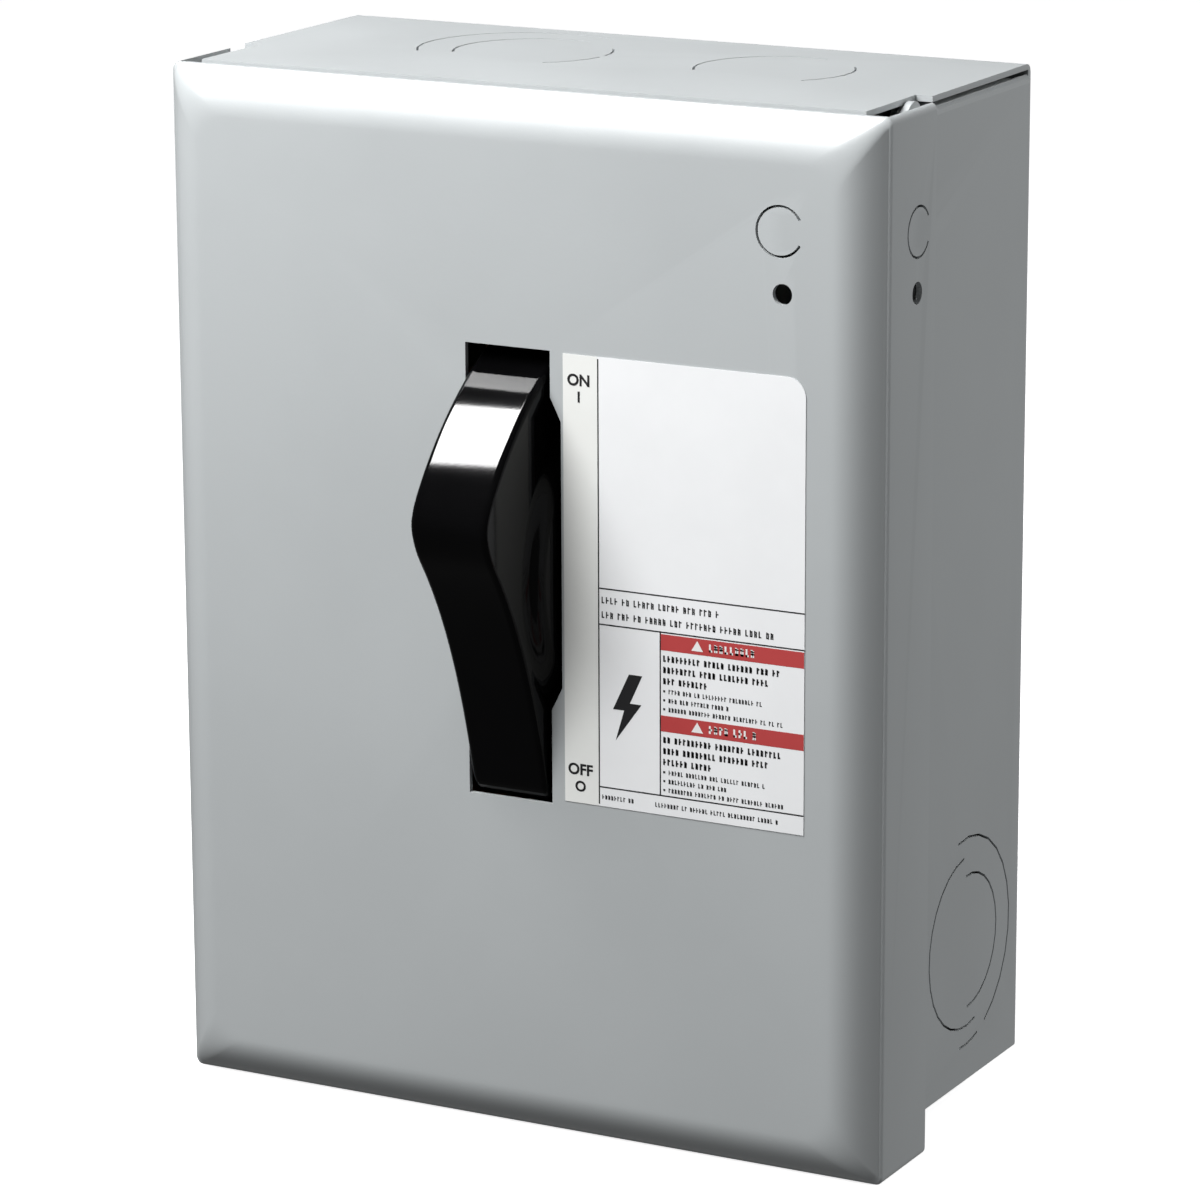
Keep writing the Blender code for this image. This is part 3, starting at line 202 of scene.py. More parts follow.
# Each light: its target in millimetres, then direction from it, distance and size in metres, and watts
KEY_TARGET = (-42.0, -70.0, 88.0)
KEY = ((-0.27, -0.58, 0.77), 0.64, 0.50, 11.4)
RIM_TARGET = (80.0, -30.0, 80.0)
RIM = ((0.73, 0.64, 0.24), 0.80, 0.60, 4.1)
SOFTBOX_TARGET = (0.0, -100.0, 35.0)
SOFTBOX = ((-0.454, -0.177, 0.873), 1.3, 0.40, 74.0)
WORLD_STRENGTH = 0.17
FLOOR_SIZE = 14.0
FLOOR_GLOW = 0.80


def add_node(tree, kind, **settings):
    node = tree.nodes.new(kind)
    for name, value in settings.items():
        setattr(node, name, value)
    return node


def object_coordinates(tree, stretch):
    """Coordinates that move with the piece, stretched along its own axes."""
    source = add_node(tree, "ShaderNodeTexCoord")
    mapping = add_node(tree, "ShaderNodeMapping")
    mapping.inputs["Scale"].default_value = stretch
    tree.links.new(source.outputs["Object"], mapping.inputs["Vector"])
    return mapping.outputs["Vector"]


def noise(tree, vector, scale, detail=2.0, roughness=0.5):
    node = add_node(tree, "ShaderNodeTexNoise")
    node.inputs["Scale"].default_value = scale
    node.inputs["Detail"].default_value = detail
    node.inputs["Roughness"].default_value = roughness
    tree.links.new(vector, node.inputs["Vector"])
    return node.outputs["Fac"]


def ranged(tree, value, source, target):
    """Maps a varying value from one range to another, clamped."""
    node = add_node(tree, "ShaderNodeMapRange")
    tree.links.new(value, node.inputs["Value"])
    for name, number in zip(("From Min", "From Max", "To Min", "To Max"), (*source, *target)):
        node.inputs[name].default_value = number
    return node.outputs["Result"]


def blended(tree, factor, first, second):
    """A colour between two, each a colour or another node's output."""
    node = add_node(tree, "ShaderNodeMix", data_type="RGBA")
    tree.links.new(factor, node.inputs[0])
    for socket, colour in ((node.inputs[6], first), (node.inputs[7], second)):
        if isinstance(colour, tuple):
            socket.default_value = (*colour, 1.0)
        else:
            tree.links.new(colour, socket)
    return node.outputs[2]


def scaled(colour, factor):
    return tuple(min(channel * factor, 1.0) for channel in colour)


def add_bump(tree, shader, layers):
    """Stacks bumps, each (height, distance in metres), and feeds the shader's normal."""
    normal = None
    for height, distance in layers:
        node = add_node(tree, "ShaderNodeBump")
        node.inputs["Strength"].default_value = 1.0
        node.inputs["Distance"].default_value = distance
        tree.links.new(height, node.inputs["Height"])
        if normal is not None:
            tree.links.new(normal, node.inputs["Normal"])
        normal = node.outputs["Normal"]
    tree.links.new(normal, shader.inputs["Normal"])


def finish_material(
    name, colour, roughness, metallic=0.0, spread=0.04, patch=35.0, grain=900.0, depth=0.00002,
    stretch=(1.0, 1.0, 1.0), wear=0.0, waviness=0.0, specular=0.5, second=None, speck=0.0,
):
    """A surface with patches of slightly different colour and gloss, a fine grain and worn edges."""
    material = bpy.data.materials.new(name)
    material.use_nodes = True
    material.diffuse_color = (*colour, 1.0)
    tree = material.node_tree
    shader = tree.nodes["Principled BSDF"]
    shader.inputs["Metallic"].default_value = metallic
    shader.inputs["Specular IOR Level"].default_value = specular
    vector = object_coordinates(tree, stretch)
    patches = noise(tree, vector, patch, detail=4.0, roughness=0.6)
    fine = noise(tree, vector, grain, detail=3.0, roughness=0.55)
    low = scaled(colour, 1.0 - spread)
    high = second or scaled(colour, 1.0 + spread)
    shade = blended(tree, ranged(tree, patches, PATCH_RANGE, (0.0, 1.0)), low, high)
    if speck:
        spots = noise(tree, vector, grain * SPECK_SCALE, detail=1.0)
        specks = ranged(tree, spots, SPECK_RANGE, (0.0, speck))
        shade = blended(tree, specks, shade, scaled(colour, SPECK_SHADE))
    if wear:
        geometry = add_node(tree, "ShaderNodeNewGeometry")
        edge = ranged(tree, geometry.outputs["Pointiness"], WEAR_RANGE, (0.0, wear))
        shade = blended(tree, edge, shade, scaled(colour, WEAR_SHADE))
    tree.links.new(shade, shader.inputs["Base Color"])
    gloss = [roughness * share for share in GLOSS_SPREAD]
    tree.links.new(ranged(tree, patches, GLOSS_RANGE, gloss), shader.inputs["Roughness"])
    layers = [(fine, depth)]
    if waviness:
        layers.append((noise(tree, vector, patch * WAVE_SCALE, detail=1.0), waviness))
    add_bump(tree, shader, layers)
    return material


def make_materials():
    return {
        "paint": finish_material(
            "painted_steel_grey", (0.385, 0.405, 0.412), 0.36, spread=0.015, patch=22.0, grain=1400.0,
            depth=0.000012, wear=0.25, waviness=0.00006,
        ),
        "handle": finish_material(
            "glossy_black_plastic", (0.0015, 0.0015, 0.0017), 0.065, spread=0.15, patch=60.0, grain=1900.0,
            depth=0.000003, waviness=0.00002, specular=0.08,
        ),
        "vinyl": finish_material(
            "white_label_vinyl", (0.74, 0.75, 0.76), 0.42, spread=0.012, patch=80.0, grain=2600.0,
            depth=0.000004,
        ),
        "strip": finish_material(
            "cream_label_strip", (0.71, 0.72, 0.70), 0.42, spread=0.012, patch=80.0, grain=2600.0,
            depth=0.000004,
        ),
        "black_ink": finish_material(
            "black_label_ink", (0.012, 0.012, 0.013), 0.5, spread=0.1, grain=3000.0, depth=0.000002
        ),
        "red_ink": finish_material(
            "red_label_ink", (0.40, 0.045, 0.045), 0.48, spread=0.05, grain=3000.0, depth=0.000002
        ),
        "white_ink": finish_material(
            "white_label_ink", (0.72, 0.70, 0.69), 0.48, spread=0.02, grain=3000.0, depth=0.000002
        ),
        "base": finish_material(
            "moulded_black_base", (0.022, 0.020, 0.019), 0.46, spread=0.12, patch=70.0, grain=1500.0,
            depth=0.00003, wear=0.5, speck=0.5,
        ),
        "rotor": finish_material(
            "moulded_red_rotor", (0.22, 0.028, 0.018), 0.42, spread=0.08, patch=60.0, grain=1500.0,
            depth=0.00002, wear=0.3,
        ),
        "fibre": finish_material(
            "grey_shield_fibre", (0.22, 0.225, 0.225), 0.62, spread=0.10, patch=60.0, grain=1100.0,
            depth=0.00004, stretch=(0.25, 1.0, 1.0), speck=0.5,
        ),
        "zinc": finish_material(
            "zinc_plated_steel", (0.58, 0.59, 0.57), 0.30, 1.0, spread=0.07, patch=120.0, grain=1600.0,
            depth=0.00001, wear=0.3, second=(0.63, 0.62, 0.55),
        ),
        "copper": finish_material(
            "bright_copper", (0.74, 0.42, 0.25), 0.27, 1.0, spread=0.10, patch=110.0, grain=1800.0,
            depth=0.00001, stretch=(1.0, 1.0, 0.12), wear=0.3, second=(0.62, 0.36, 0.24),
        ),
        "aluminium": finish_material(
            "extruded_aluminium", (0.72, 0.73, 0.74), 0.34, 1.0, spread=0.04, patch=90.0, grain=1500.0,
            depth=0.000015, stretch=(1.0, 1.0, 0.08), wear=0.2,
        ),
        "fuse": finish_material(
            "fuse_tube_paper", (0.36, 0.10, 0.06), 0.66, spread=0.12, patch=55.0, grain=900.0,
            depth=0.00003, stretch=(0.4, 0.4, 1.6), speck=0.4,
        ),
    }


NODE_FINISHES = (
    ("enclosure_body", "paint"),
    ("front_cover", "paint"),
    ("cover_hinge_arm", "paint"),
    ("operating_handle", "handle"),
    ("cover_label", "vinyl"),
    ("switch_base", "base"),
    ("rotor_bearing", "base"),
    ("neutral_insulator", "base"),
    ("rotor_bar", "rotor"),
    ("line_shield", "fibre"),
    ("fuse_tube", "fuse"),
    ("fuse_ferrule", "copper"),
    ("fuse_clip", "copper"),
    ("line_jaw", "copper"),
    ("load_jaw", "copper"),
    ("load_strap", "copper"),
    ("moving_blade", "copper"),
    ("ground_screw", "copper"),
    ("line_lug_1_screw", "zinc"),
    ("line_lug_2_screw", "zinc"),
    ("load_lug_1_screw", "zinc"),
    ("load_lug_2_screw", "zinc"),
    ("line_lug", "aluminium"),
    ("load_lug", "aluminium"),
    ("neutral_bar", "aluminium"),
    ("ground_lug", "aluminium"),
    ("", "zinc"),
)


def dress_cad_nodes(nodes, looks):
    for name, obj in nodes.items():
        look = next(finish for start, finish in NODE_FINISHES if name.startswith(start))
        for slot in obj.material_slots:
            slot.material = looks[look]


def arc(centre, radius, start, stop, steps):
    """Points on an arc, in degrees."""
    points = []
    for step in range(steps + 1):
        angle = math.radians(start + (stop - start) * step / steps)
        points.append((centre[0] + radius * math.cos(angle), centre[1] + radius * math.sin(angle)))
    return points


def circle(centre, radius, steps=CIRCLE_STEPS):
    return arc(centre, radius, 0, 360 - 360 / steps, steps - 1)


def rectangle(a, b):
    return [(a[0], b[0]), (a[1], b[0]), (a[1], b[1]), (a[0], b[1])]


def placed(axis, first, second, along):
    """A drawing point in space: X draws in (Y, Z) and Y draws in (X, Z)."""
    point = (along, first, second) if axis == "X" else (first, along, second)
    return Vector(point) * MM


def add_prism(bm, axis, outline, span):
    """A closed slab: the outline filling span along the axis."""
    near = [bm.verts.new(placed(axis, *point, span[0])) for point in outline]
    far = [bm.verts.new(placed(axis, *point, span[1])) for point in outline]
    bm.faces.new(near)
    bm.faces.new(list(reversed(far)))
    for k, vert in enumerate(near):
        after = (k + 1) % len(near)
        bm.faces.new((near[after], vert, far[k], far[after]))


def bridge_rings(bm, rings):
    """Faces between each closed ring of vertices and the next."""
    for near, far in zip(rings, rings[1:]):
        for k, vert in enumerate(near):
            after = (k + 1) % len(near)
            bm.faces.new((vert, near[after], far[after], far[k]))


def mesh_object(name, bm, materials=()):
    bmesh.ops.recalc_face_normals(bm, faces=bm.faces)
    mesh = bpy.data.meshes.new(name)
    bm.to_mesh(mesh)
    bm.free()
    for material in materials:
        mesh.materials.append(material)
    mesh.shade_smooth()
    mesh.set_sharp_from_angle(angle=math.radians(SMOOTH_DEG))
    obj = bpy.data.objects.new(name, mesh)
    bpy.context.scene.collection.objects.link(obj)
    return obj


def prism(name, axis, outline, span, materials=()):
    bm = bmesh.new()
    add_prism(bm, axis, outline, span)
    return mesh_object(name, bm, materials)


def block(name, x, y, z):
    return prism(name, "Y", rectangle(x, z), y)


def combine(obj, operation, tools):
    for tool in tools:
        modifier = obj.modifiers.new(operation.lower(), "BOOLEAN")
        modifier.operation = operation
        modifier.solver = "EXACT"
        modifier.object = tool


def bake(obj, tools, smooth_deg):
    """Turns the modifiers into mesh and removes the tools they used."""
    bpy.context.view_layer.update()
    evaluated = obj.evaluated_get(bpy.context.evaluated_depsgraph_get())
    mesh = bpy.data.meshes.new_from_object(evaluated)
    obj.modifiers.clear()
    obj.data = mesh
    mesh.shade_smooth()
    mesh.set_sharp_from_angle(angle=math.radians(smooth_deg))
    for tool in tools:
        bpy.data.objects.remove(tool, do_unlink=True)


def keep_flats_flat(obj):
    """Weights the normals by face area, so that flat faces next to a bend stay flat."""
    normals = obj.modifiers.new("flat_faces_stay_flat", "WEIGHTED_NORMAL")
    normals.keep_sharp = True


def slit_outline(centre, radius, start, stop):
    """A thin curved slit, from one angle to another."""
    outline = arc(centre, radius + SLIT / 2, start, stop, CURVE_STEPS)
    return outline + arc(centre, radius - SLIT / 2, stop, start, CURVE_STEPS)


def cover_ring(bm, low, high, inset, y, corner):
    """A rounded rectangle of vertices round the cover, inset from its outside."""
    left = low.x / MM + inset + corner
    right = high.x / MM - inset - corner
    bottom = low.z / MM + inset + corner
    top = high.z / MM - inset - corner
    points = []
    for turn, centre in enumerate(((right, top), (left, top), (left, bottom), (right, bottom))):
        points += arc(centre, corner, turn * 90, turn * 90 + 90, CORNER_STEPS)
    return [bm.verts.new(Vector((x, y, z)) * MM) for x, z in points]


def cover_sections(low, high):
    """(inset, y, corner radius) from the flange's back edge round to the flat of the raised front."""
    front = low.y / MM
    bend = front + RAISE
    foot = 0.0
    sections = [(foot, high.y / MM, FLANGE_CORNER)]
    for step in range(FLANGE_STEPS + 1):
        turn = math.radians(FLANGE_TURN_DEG * step / FLANGE_STEPS)
        foot = FLANGE_ROUNDING * (1 - math.cos(turn))
        sections.append((foot, bend + FLANGE_ROUNDING * (1 - math.sin(turn)), FLANGE_CORNER))
    first = math.radians(EDGE_START_DEG)
    for step in range(1, EDGE_STEPS + 1):
        share = step / EDGE_STEPS
        turn = first + (math.pi / 2 - first) * share
        inset = foot + EDGE_WIDTH * (1 - math.cos(turn) / math.cos(first))
        rise = RAISE * (math.sin(turn) - math.sin(first)) / (1 - math.sin(first))
        corner = FLANGE_CORNER + (FRONT_CORNER - FLANGE_CORNER) * share
        sections.append((inset, bend - rise, corner))
    sections.append((foot + EDGE_WIDTH + FLAT_MARGIN, front, FRONT_CORNER))
    return sections


def slot_outline(middle):
    """The handle slot: wider round its middle."""
    right = [
        (SLOT_HALF_WIDTH, middle - SLOT_HALF_LENGTH),
        (SLOT_HALF_WIDTH, SLOT_WIDE_Z[0] - SLOT_TAPER),
        (SLOT_WIDE_HALF_WIDTH, SLOT_WIDE_Z[0]),
        (SLOT_WIDE_HALF_WIDTH, SLOT_WIDE_Z[1]),
        (SLOT_HALF_WIDTH, SLOT_WIDE_Z[1] + SLOT_TAPER),
        (SLOT_HALF_WIDTH, middle + SLOT_HALF_LENGTH),
    ]
    return right + [(-x, z) for x, z in reversed(right)]


def make_cover(looks, shaft_z):
    """The formed cover: flanges, soft raised front, handle slot, lock rings and seal holes."""
    low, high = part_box("front_cover")
    bm = bmesh.new()
    rings = [cover_ring(bm, low, high, *section) for section in cover_sections(low, high)]
    bridge_rings(bm, rings)
    bm.faces.new(rings[-1])
    cover = mesh_object("cover_shell", bm, (looks["paint"],))
    wall = cover.modifiers.new("sheet", "SOLIDIFY")
    wall.thickness = SHEET * MM
    wall.offset = -1
    wall.use_even_offset = True
    front = low.y / MM
    back = high.y / MM
    right = high.x / MM
    inside = right - SHEET
    through = (front - SHEET, front + 2 * SHEET)
    behind_bend = front + RAISE + SHEET + OVERLAP
    top = high.z / MM
    bottom = low.z / MM
    flange = (right - 2 * SHEET, right + SHEET)
    lip_x = (CLEARANCE - inside, inside - CLEARANCE)
    lip_y = (front + RAISE + LIP_DEPTH, back + SHEET)
    cutters = [
        block("top_relief", (-inside, inside), (behind_bend, back + SHEET), (top - 2 * SHEET, top + SHEET)),
        block("lip_relief", lip_x, lip_y, (bottom - SHEET, bottom + 2 * SHEET)),
        prism("slot", "Y", slot_outline(shaft_z), through),
        prism("front_lock", "Y", slit_outline(FRONT_LOCK[:2], FRONT_LOCK[2], *LOCK_ARC), through),
        prism("front_hole", "Y", circle(FRONT_HOLE[:2], FRONT_HOLE[2]), through),
        prism("flange_lock", "X", slit_outline(FLANGE_LOCK[:2], FLANGE_LOCK[2], *LOCK_ARC), flange),
        prism("flange_hole", "X", circle(FLANGE_HOLE[:2], FLANGE_HOLE[2]), flange),
    ]
    combine(cover, "DIFFERENCE", cutters)
    bake(cover, cutters, COVER_SMOOTH_DEG)
    keep_flats_flat(cover)
    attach(cover, "cover")
    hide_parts("front_cover")


def drum_radius(degrees):
    """The rim above the nose: a drum that grows towards the nose."""
    reach = (NOSE_START_DEG - degrees) / (NOSE_START_DEG - NOSE_DEG)
    return DRUM_RADIUS + NOSE_GAIN * min(max(reach, 0.0), 1.0) ** 2


def scoop_polar(share):
    """The finger scoop below the nose, a quadratic curve, as (degrees, radius)."""
    weights = ((1 - share) ** 2, 2 * share * (1 - share), share**2)
    forward, up = (sum(w * point[k] for w, point in zip(weights, SCOOP)) for k in (0, 1))
    return math.degrees(math.atan2(up, forward)), math.hypot(forward, up)


def read_curve(points, degrees):
    """Linear reading of a radius between sorted (degrees, radius) points."""
    for (first, near), (second, far) in zip(points, points[1:]):
        if degrees <= second:
            share = (degrees - first) / (second - first)
            return near + (far - near) * min(max(share, 0.0), 1.0)
    return points[-1][1]


def handle_rim():
    """Evenly spaced (degrees, radius) points from the handle's foot to its top, softly smoothed."""
    points = [scoop_polar(1 - step / CURVE_STEPS) for step in range(CURVE_STEPS + 1)]
    points = [(DRUM_DEG[0], points[0][1]), *points]
    start = NOSE_DEG - NOSE_BLEND_DEG
    for step in range(CURVE_STEPS + 1):
        degrees = start + (DRUM_DEG[1] - start) * step / CURVE_STEPS
        points.append((degrees, drum_radius(degrees)))
    span = DRUM_DEG[1] - DRUM_DEG[0]
    angles = [DRUM_DEG[0] + span * step / RIM_STEPS for step in range(RIM_STEPS + 1)]
    radii = [read_curve(points, degrees) for degrees in angles]
    for _ in range(RIM_SMOOTH_PASSES):
        inner = [(a + 2 * b + c) / 4 for a, b, c in zip(radii, radii[1:], radii[2:])]
        radii = [radii[0], *inner, radii[-1]]
    return list(zip(angles, radii))


def flank_half_width(radius):
    """The handle's half width: a grip that flares into cheeks near the shaft."""
    share = min(max((FLARE[1] - radius) / (FLARE[1] - FLARE[0]), 0.0), 1.0)
    share = share * share * (3 - 2 * share)
    return GRIP_HALF_WIDTH + (CHEEK_HALF_WIDTH - GRIP_HALF_WIDTH) * share


def handle_section(rim_radius):
    """(x, radius) points across the handle, from the left root over the grip to the right root.

    The root point repeats where the grip is short, so that every section has as many points.
    """
    shoulder = rim_radius - GRIP_EDGE
    radii = [CORE_RADIUS, FLARE[0] - FLARE_LEAD]
    radii += [FLARE[0] + (FLARE[1] - FLARE[0]) * step / FLARE_STEPS for step in range(FLARE_STEPS + 1)]
    below = [radius for radius in radii if radius < shoulder - SHOULDER_MARGIN]
    right = [(flank_half_width(radius), radius) for radius in below]
    right += arc((GRIP_HALF_WIDTH - GRIP_EDGE, shoulder), GRIP_EDGE, 0, 90, GRIP_EDGE_STEPS)
    missing = len(radii) - len(below)
    right = right[:1] * (missing + 1) + right[1:]
    return [(-x, radius) for x, radius in right] + [(x, radius) for x, radius in reversed(right)]


def handle_point(centre, degrees, radius):
    """A (Y, Z) point about the shaft, at an angle above straight ahead."""
    angle = math.radians(degrees)
    return (centre[0] - radius * math.cos(angle), centre[1] + radius * math.sin(angle))


def cavity_outline(rim, centre):
    """The hollow back: inside the rim, open behind the drum's two ends, and clear of the hub."""
    outline = [
        handle_point(centre, degrees, radius - HANDLE_WALL) for degrees, radius in rim[::CAVITY_RIM_STRIDE]
    ]
    bottom, top = DRUM_DEG
    outline.append(handle_point(centre, top + CAVITY_SHOULDER_DEG, DRUM_RADIUS))
    outline.append(handle_point(centre, top + CAVITY_SPREAD_DEG, DRUM_RADIUS))
    span = top - bottom + 2 * CAVITY_SPREAD_DEG
    for step in range(CAVITY_STEPS + 1):
        degrees = top + CAVITY_SPREAD_DEG - span * step / CAVITY_STEPS
        outline.append(handle_point(centre, degrees, HUB_RADIUS + HUB_WALL))
    outline.append(handle_point(centre, bottom - CAVITY_SPREAD_DEG, DRUM_RADIUS))
    return outline


def make_handle(looks, shaft):
    """The rocker handle: a lofted grip with cheeks, a hub and a hollow back."""
    centre = (shaft.y / MM, shaft.z / MM)
    rim = handle_rim()
    bm = bmesh.new()
    rings = []
    for degrees, rim_radius in rim:
        ring = []
        for x, radius in handle_section(rim_radius):
            y, z = handle_point(centre, degrees, radius)
            ring.append(bm.verts.new(Vector((x, y, z)) * MM))
        rings.append(ring)
    bridge_rings(bm, rings)
    bm.faces.new(rings[0])
    bm.faces.new(list(reversed(rings[-1])))
    bmesh.ops.remove_doubles(bm, verts=bm.verts, dist=WELD_DISTANCE)
    grip = mesh_object("handle_grip", bm, (looks["handle"],))
    hub = prism("hub", "X", circle(centre, HUB_RADIUS, HUB_STEPS), (-HUB_HALF_WIDTH, HUB_HALF_WIDTH))
    hollow = prism("hollow", "X", cavity_outline(rim, centre), (-CAVITY_HALF_WIDTH, CAVITY_HALF_WIDTH))
    bore = prism("bore", "X", circle(centre, BORE_RADIUS), (-2 * HUB_RADIUS, 2 * HUB_RADIUS))
    combine(grip, "UNION", [hub])
    combine(grip, "DIFFERENCE", [hollow, bore])
    bake(grip, [hub, hollow, bore], HANDLE_SMOOTH_DEG)
    keep_flats_flat(grip)
    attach(grip, "handle")
    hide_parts("operating_handle")


class Label:
    """Draws flat printed shapes on the label, in millimetres from its lower left corner."""

    def __init__(self, low, high, cover_front):
        self.left = low.x / MM
        self.bottom = low.z / MM
        self.width = (high.x - low.x) / MM
        self.height = (high.z - low.z) / MM
        self.surface = cover_front - INK - LABEL_FILM

    def at(self, u, v):
        return (self.left + u, self.bottom + v)

    def outline(self, points):
        return [self.at(u, v) for u, v in points]

    def print_shapes(self, name, shapes, material, lift=0.0):
        """One thin piece that holds every shape, printed on the film."""
        bm = bmesh.new()
        near = self.surface - lift - INK
        for points in shapes:
            add_prism(bm, "Y", self.outline(points), (near, near + INK / 2))
        piece = mesh_object(name, bm, (material,))
        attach(piece, "cover")


def letter(u, v, width, size, kind):
    """One meaningless mark the size of a letter: an upright and one or two crossbars."""
    height, stroke = size
    shapes = [rectangle((u, u + stroke), (v, v + height))]
    for level in LETTER_CROSSBARS[kind]:
        low = v + (height - stroke) * level
        shapes.append(rectangle((u, u + width), (low, low + stroke)))
    if kind in CLOSED_LETTERS:
        shapes.append(rectangle((u + width - stroke, u + width), (v, v + height * CLOSED_HEIGHT)))
    return shapes


def text_line(pick, u, v, length, size):
    """A line of placeholder text: words of meaningless marks that fill a length."""
    shapes = []
    cursor = u
    pitch = size[0] * LETTER_PITCH
    while cursor < u + length - pitch:
        for _ in range(pick.randint(*WORD_LETTERS)):
            if cursor > u + length - pitch:
                break
            kind = pick.randrange(len(LETTER_CROSSBARS))
            shapes += letter(cursor, v, pitch * LETTER_WIDTH, size, kind)
            cursor += pitch
        cursor += pitch * WORD_GAP
    return shapes


def make_switch_mark(label, name, words, v, size, material):
    """A generic switch marking, centred on the label's strip."""
    curve = bpy.data.curves.new(name, "FONT")
    curve.body = words
    curve.size = size * MM
    curve.align_x = "CENTER"
    curve.align_y = "CENTER"
    curve.extrude = INK * MM / 4
    curve.offset = size * MM * MARK_BOLDNESS
    holder = bpy.data.objects.new(name + "_curve", curve)
    bpy.context.scene.collection.objects.link(holder)
    bpy.context.view_layer.update()
    evaluated = holder.evaluated_get(bpy.context.evaluated_depsgraph_get())
    mesh = bpy.data.meshes.new_from_object(evaluated)
    bpy.data.objects.remove(holder, do_unlink=True)
    x, z = label.at(STRIP_WIDTH / 2 - MARK_SHIFT, v)
    place = Matrix.Translation(Vector((x, label.surface - INK, z)) * MM)
    mesh.transform(place @ Matrix.Rotation(math.pi / 2, 4, "X"))
    mesh.materials.clear()
    mesh.materials.append(material)
    piece = bpy.data.objects.new(name, mesh)
    bpy.context.scene.collection.objects.link(piece)
    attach(piece, "cover")


def film_outline(label, left, right, round_right):
    """A full-height stretch of the label, with or without its round upper right corner."""
    points = [(left, label.height), (left, 0.0), (right, 0.0)]
    if round_right:
        centre = (right - LABEL_CORNER, label.height - LABEL_CORNER)
        return points + arc(centre, LABEL_CORNER, 0, 90, LABEL_CORNER_STEPS)
    return points + [(right, label.height)]


def text_block(pick, label, top):
    """Placeholder text under a bar: bold lines first, then small ones with bullets."""
    u = SYMBOL_RULE_U + TEXT_MARGIN
    length = label.width - u - BLOCK_MARGIN
    shapes = []
    cursor = top - BLOCK_DROP
    for share in BOLD_SHARES:
        shapes += text_line(pick, u, cursor, length * share, BOLD_LETTERS)
        cursor -= BOLD_PITCH
    cursor += SMALL_RAISE
    for share in SMALL_SHARES:
        shapes += text_line(pick, u + SMALL_INDENT, cursor, length * share, SMALL_LETTERS)
        low = cursor + BULLET_LIFT
        shapes.append(rectangle((u, u + BULLET), (low, low + BULLET)))
        cursor -= SMALL_PITCH
    return shapes


def make_film(looks, label, cover_front):
    """The label's two films: the panel and, along its left edge, the strip."""
    depth = (label.surface, cover_front - INK)
    panel = label.outline(film_outline(label, STRIP_WIDTH, label.width, True))
    film = prism("label_film", "Y", panel, depth, (looks["vinyl"],))
    edge = label.outline(film_outline(label, 0.0, STRIP_WIDTH, False))
    strip = prism("label_strip", "Y", edge, depth, (looks["strip"],))
    for piece in (film, strip):
        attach(piece, "cover")
    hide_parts("cover_label")


def print_rules(looks, label):
    """The strip's edge, the lines across the panel and the symbol field's edge."""
    rules = [rectangle((STRIP_WIDTH, STRIP_WIDTH + RULE), (RULE_END, label.height - RULE_END))]
    for v in (HEADER_RULE_V, TITLE_RULE_V, FOOTER_RULE_V):
        rules.append(rectangle((STRIP_WIDTH, label.width), (v, v + RULE)))
    rules.append(rectangle((SYMBOL_RULE_U, SYMBOL_RULE_U + RULE), (FOOTER_RULE_V, TITLE_RULE_V)))
    label.print_shapes("label_rules", rules, looks["black_ink"])


def print_bars(looks, label, pick):
    """Two plain red bars, each with a triangle and a word of meaningless marks."""
    span = (SYMBOL_RULE_U + RULE, label.width - BAR_END)
    bars = [rectangle(span, (v, v + BAR_HEIGHT)) for v in BARS_V]
    label.print_shapes("label_bars", bars, looks["red_ink"])
    marks = []
    middle = SYMBOL_RULE_U + BAR_TRIANGLE_U
    word_u = SYMBOL_RULE_U + BAR_WORD_U
    low, high = BAR_TRIANGLE_V
    for v in BARS_V:
        marks += text_line(pick, word_u, v + BAR_WORD_V, BAR_WORD_LENGTH, BAR_LETTERS)
        left = (middle - BAR_TRIANGLE_HALF_WIDTH, v + low)
        right = (middle + BAR_TRIANGLE_HALF_WIDTH, v + low)
        marks.append([left, right, (middle, v + high)])
    label.print_shapes("label_bar_marks", marks, looks["white_ink"], lift=INK)


def print_text(looks, label, pick):
    """The placeholder text, and a plain zigzag bolt as a generic electricity mark."""
    words = []
    for v, length in HEADER_LINES:
        words += text_line(pick, STRIP_WIDTH + TEXT_MARGIN, v, length, HEADER_LETTERS)
    for u, length in FOOTER_LINES:
        words += text_line(pick, u, FOOTER_V, length, SMALL_LETTERS)
    for v in BARS_V:
        words += text_block(pick, label, v)
    words.append(BOLT)
    label.print_shapes("label_placeholder_text", words, looks["black_ink"])


def make_label(looks):
    """The printed sheet beside the handle: rules, plain bars, placeholder text and switch marks."""
    low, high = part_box("cover_label")
    cover_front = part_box("front_cover")[0].y / MM
    label = Label(low, high, cover_front)
    pick = random.Random(SEED)
    make_film(looks, label, cover_front)
    print_rules(looks, label)
    print_bars(looks, label, pick)
    print_text(looks, label, pick)
    for name, words, v, size in SWITCH_MARKS:
        make_switch_mark(label, name, words, v, size, looks["black_ink"])


def make_floor():
    """A plain pale floor under the cover's lower edge."""
    floor_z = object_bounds()[0].z
    half = FLOOR_SIZE / 2
    mesh = bpy.data.meshes.new("studio_floor")
    corners = [(x, y, floor_z) for x, y in rectangle((-half, half), (-half, half))]
    mesh.from_pydata(corners, [], [(0, 1, 2, 3)])
    floor = bpy.data.objects.new("studio_floor", mesh)
    bpy.context.scene.collection.objects.link(floor)
    look = finish_material("pale_floor", (0.80, 0.80, 0.80), 0.9, spread=0.004, depth=0.00001)
    shader = look.node_tree.nodes["Principled BSDF"]
    shader.inputs["Emission Color"].default_value = (1.0, 1.0, 1.0, 1.0)
    shader.inputs["Emission Strength"].default_value = FLOOR_GLOW
    mesh.materials.append(look)
    floor.visible_diffuse = False
    floor.visible_glossy = False


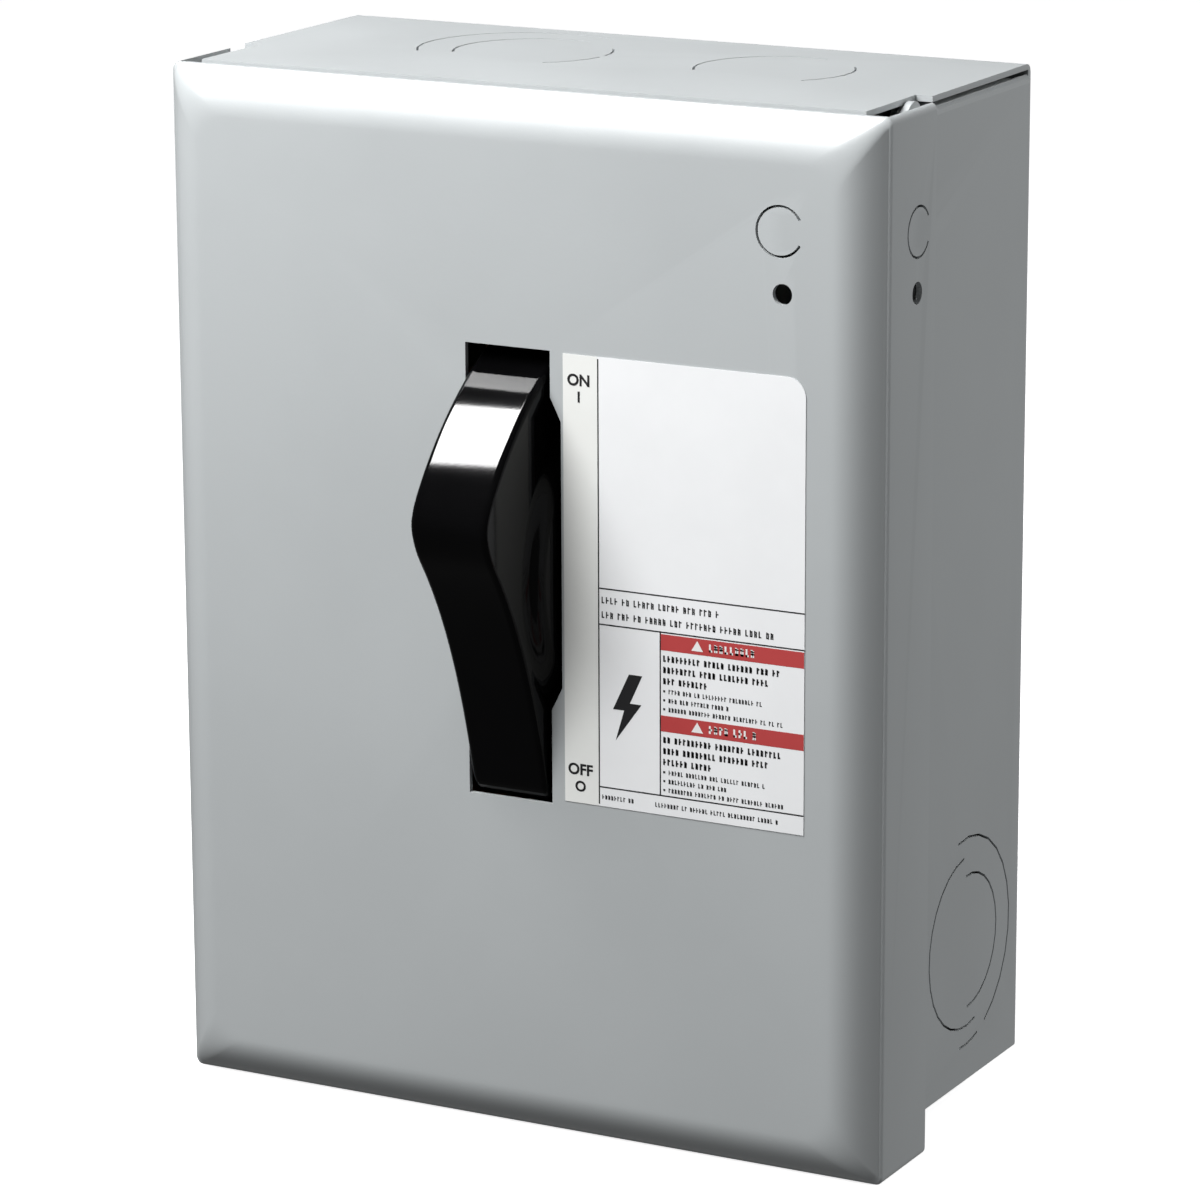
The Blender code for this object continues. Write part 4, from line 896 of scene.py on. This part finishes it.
def add_area_light(name, setup, target):
    direction, distance, size, power = setup
    light = bpy.data.lights.new(name, "AREA")
    light.shape = "SQUARE"
    light.size = size
    light.energy = power
    holder = bpy.data.objects.new(name, light)
    heading = Vector(direction).normalized()
    holder.location = Vector(target) * MM + heading * distance
    holder.rotation_mode = "QUATERNION"
    holder.rotation_quaternion = heading.to_track_quat("Z", "Y")
    bpy.context.scene.collection.objects.link(holder)
    return holder


def make_light():
    """A near key from the upper left, a rim light from behind, and a softbox that only shows in gloss."""
    key = add_area_light("key_light", KEY, KEY_TARGET)
    key.visible_glossy = False
    rim = add_area_light("rim_light", RIM, RIM_TARGET)
    rim.visible_glossy = False
    softbox = add_area_light("gloss_softbox", SOFTBOX, SOFTBOX_TARGET)
    softbox.visible_diffuse = False
    world = bpy.data.worlds.new("studio")
    world.use_nodes = True
    background = world.node_tree.nodes["Background"]
    background.inputs["Color"].default_value = (1.0, 1.0, 1.0, 1.0)
    background.inputs["Strength"].default_value = WORLD_STRENGTH
    bpy.context.scene.world = world
    bpy.context.scene.view_settings.view_transform = "Standard"


def make_camera():
    azimuth = math.radians(CAMERA_AZIMUTH)
    elevation = math.radians(CAMERA_ELEVATION)
    away = Vector(
        (
            math.sin(azimuth) * math.cos(elevation),
            -math.cos(azimuth) * math.cos(elevation),
            math.sin(elevation),
        )
    )
    camera = bpy.data.cameras.new("camera")
    camera.lens = CAMERA_LENS
    camera.sensor_width = SENSOR
    camera.dof.use_dof = False
    holder = bpy.data.objects.new("camera", camera)
    holder.location = Vector(CAMERA_TARGET) * MM + away * CAMERA_DISTANCE
    aim = (-away).to_track_quat("-Z", "Y").to_matrix().to_4x4()
    turned = aim @ Matrix.Rotation(math.radians(CAMERA_ROLL), 4, "Z")
    holder.rotation_euler = turned.to_euler()
    bpy.context.scene.collection.objects.link(holder)
    bpy.context.scene.camera = holder


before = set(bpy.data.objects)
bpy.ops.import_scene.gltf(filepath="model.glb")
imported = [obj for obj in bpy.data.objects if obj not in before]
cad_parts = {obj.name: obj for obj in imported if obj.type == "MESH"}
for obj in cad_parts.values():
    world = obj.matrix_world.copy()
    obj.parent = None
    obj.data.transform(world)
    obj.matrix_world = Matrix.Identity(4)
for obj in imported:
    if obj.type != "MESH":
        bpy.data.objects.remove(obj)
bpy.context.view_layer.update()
shaft_low, shaft_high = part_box("handle_shaft")
shaft = (shaft_low + shaft_high) / 2
looks = make_materials()
dress_cad_nodes(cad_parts, looks)
make_cover(looks, shaft.z / MM)
make_handle(looks, shaft)
make_label(looks)
make_floor()
make_light()
make_camera()
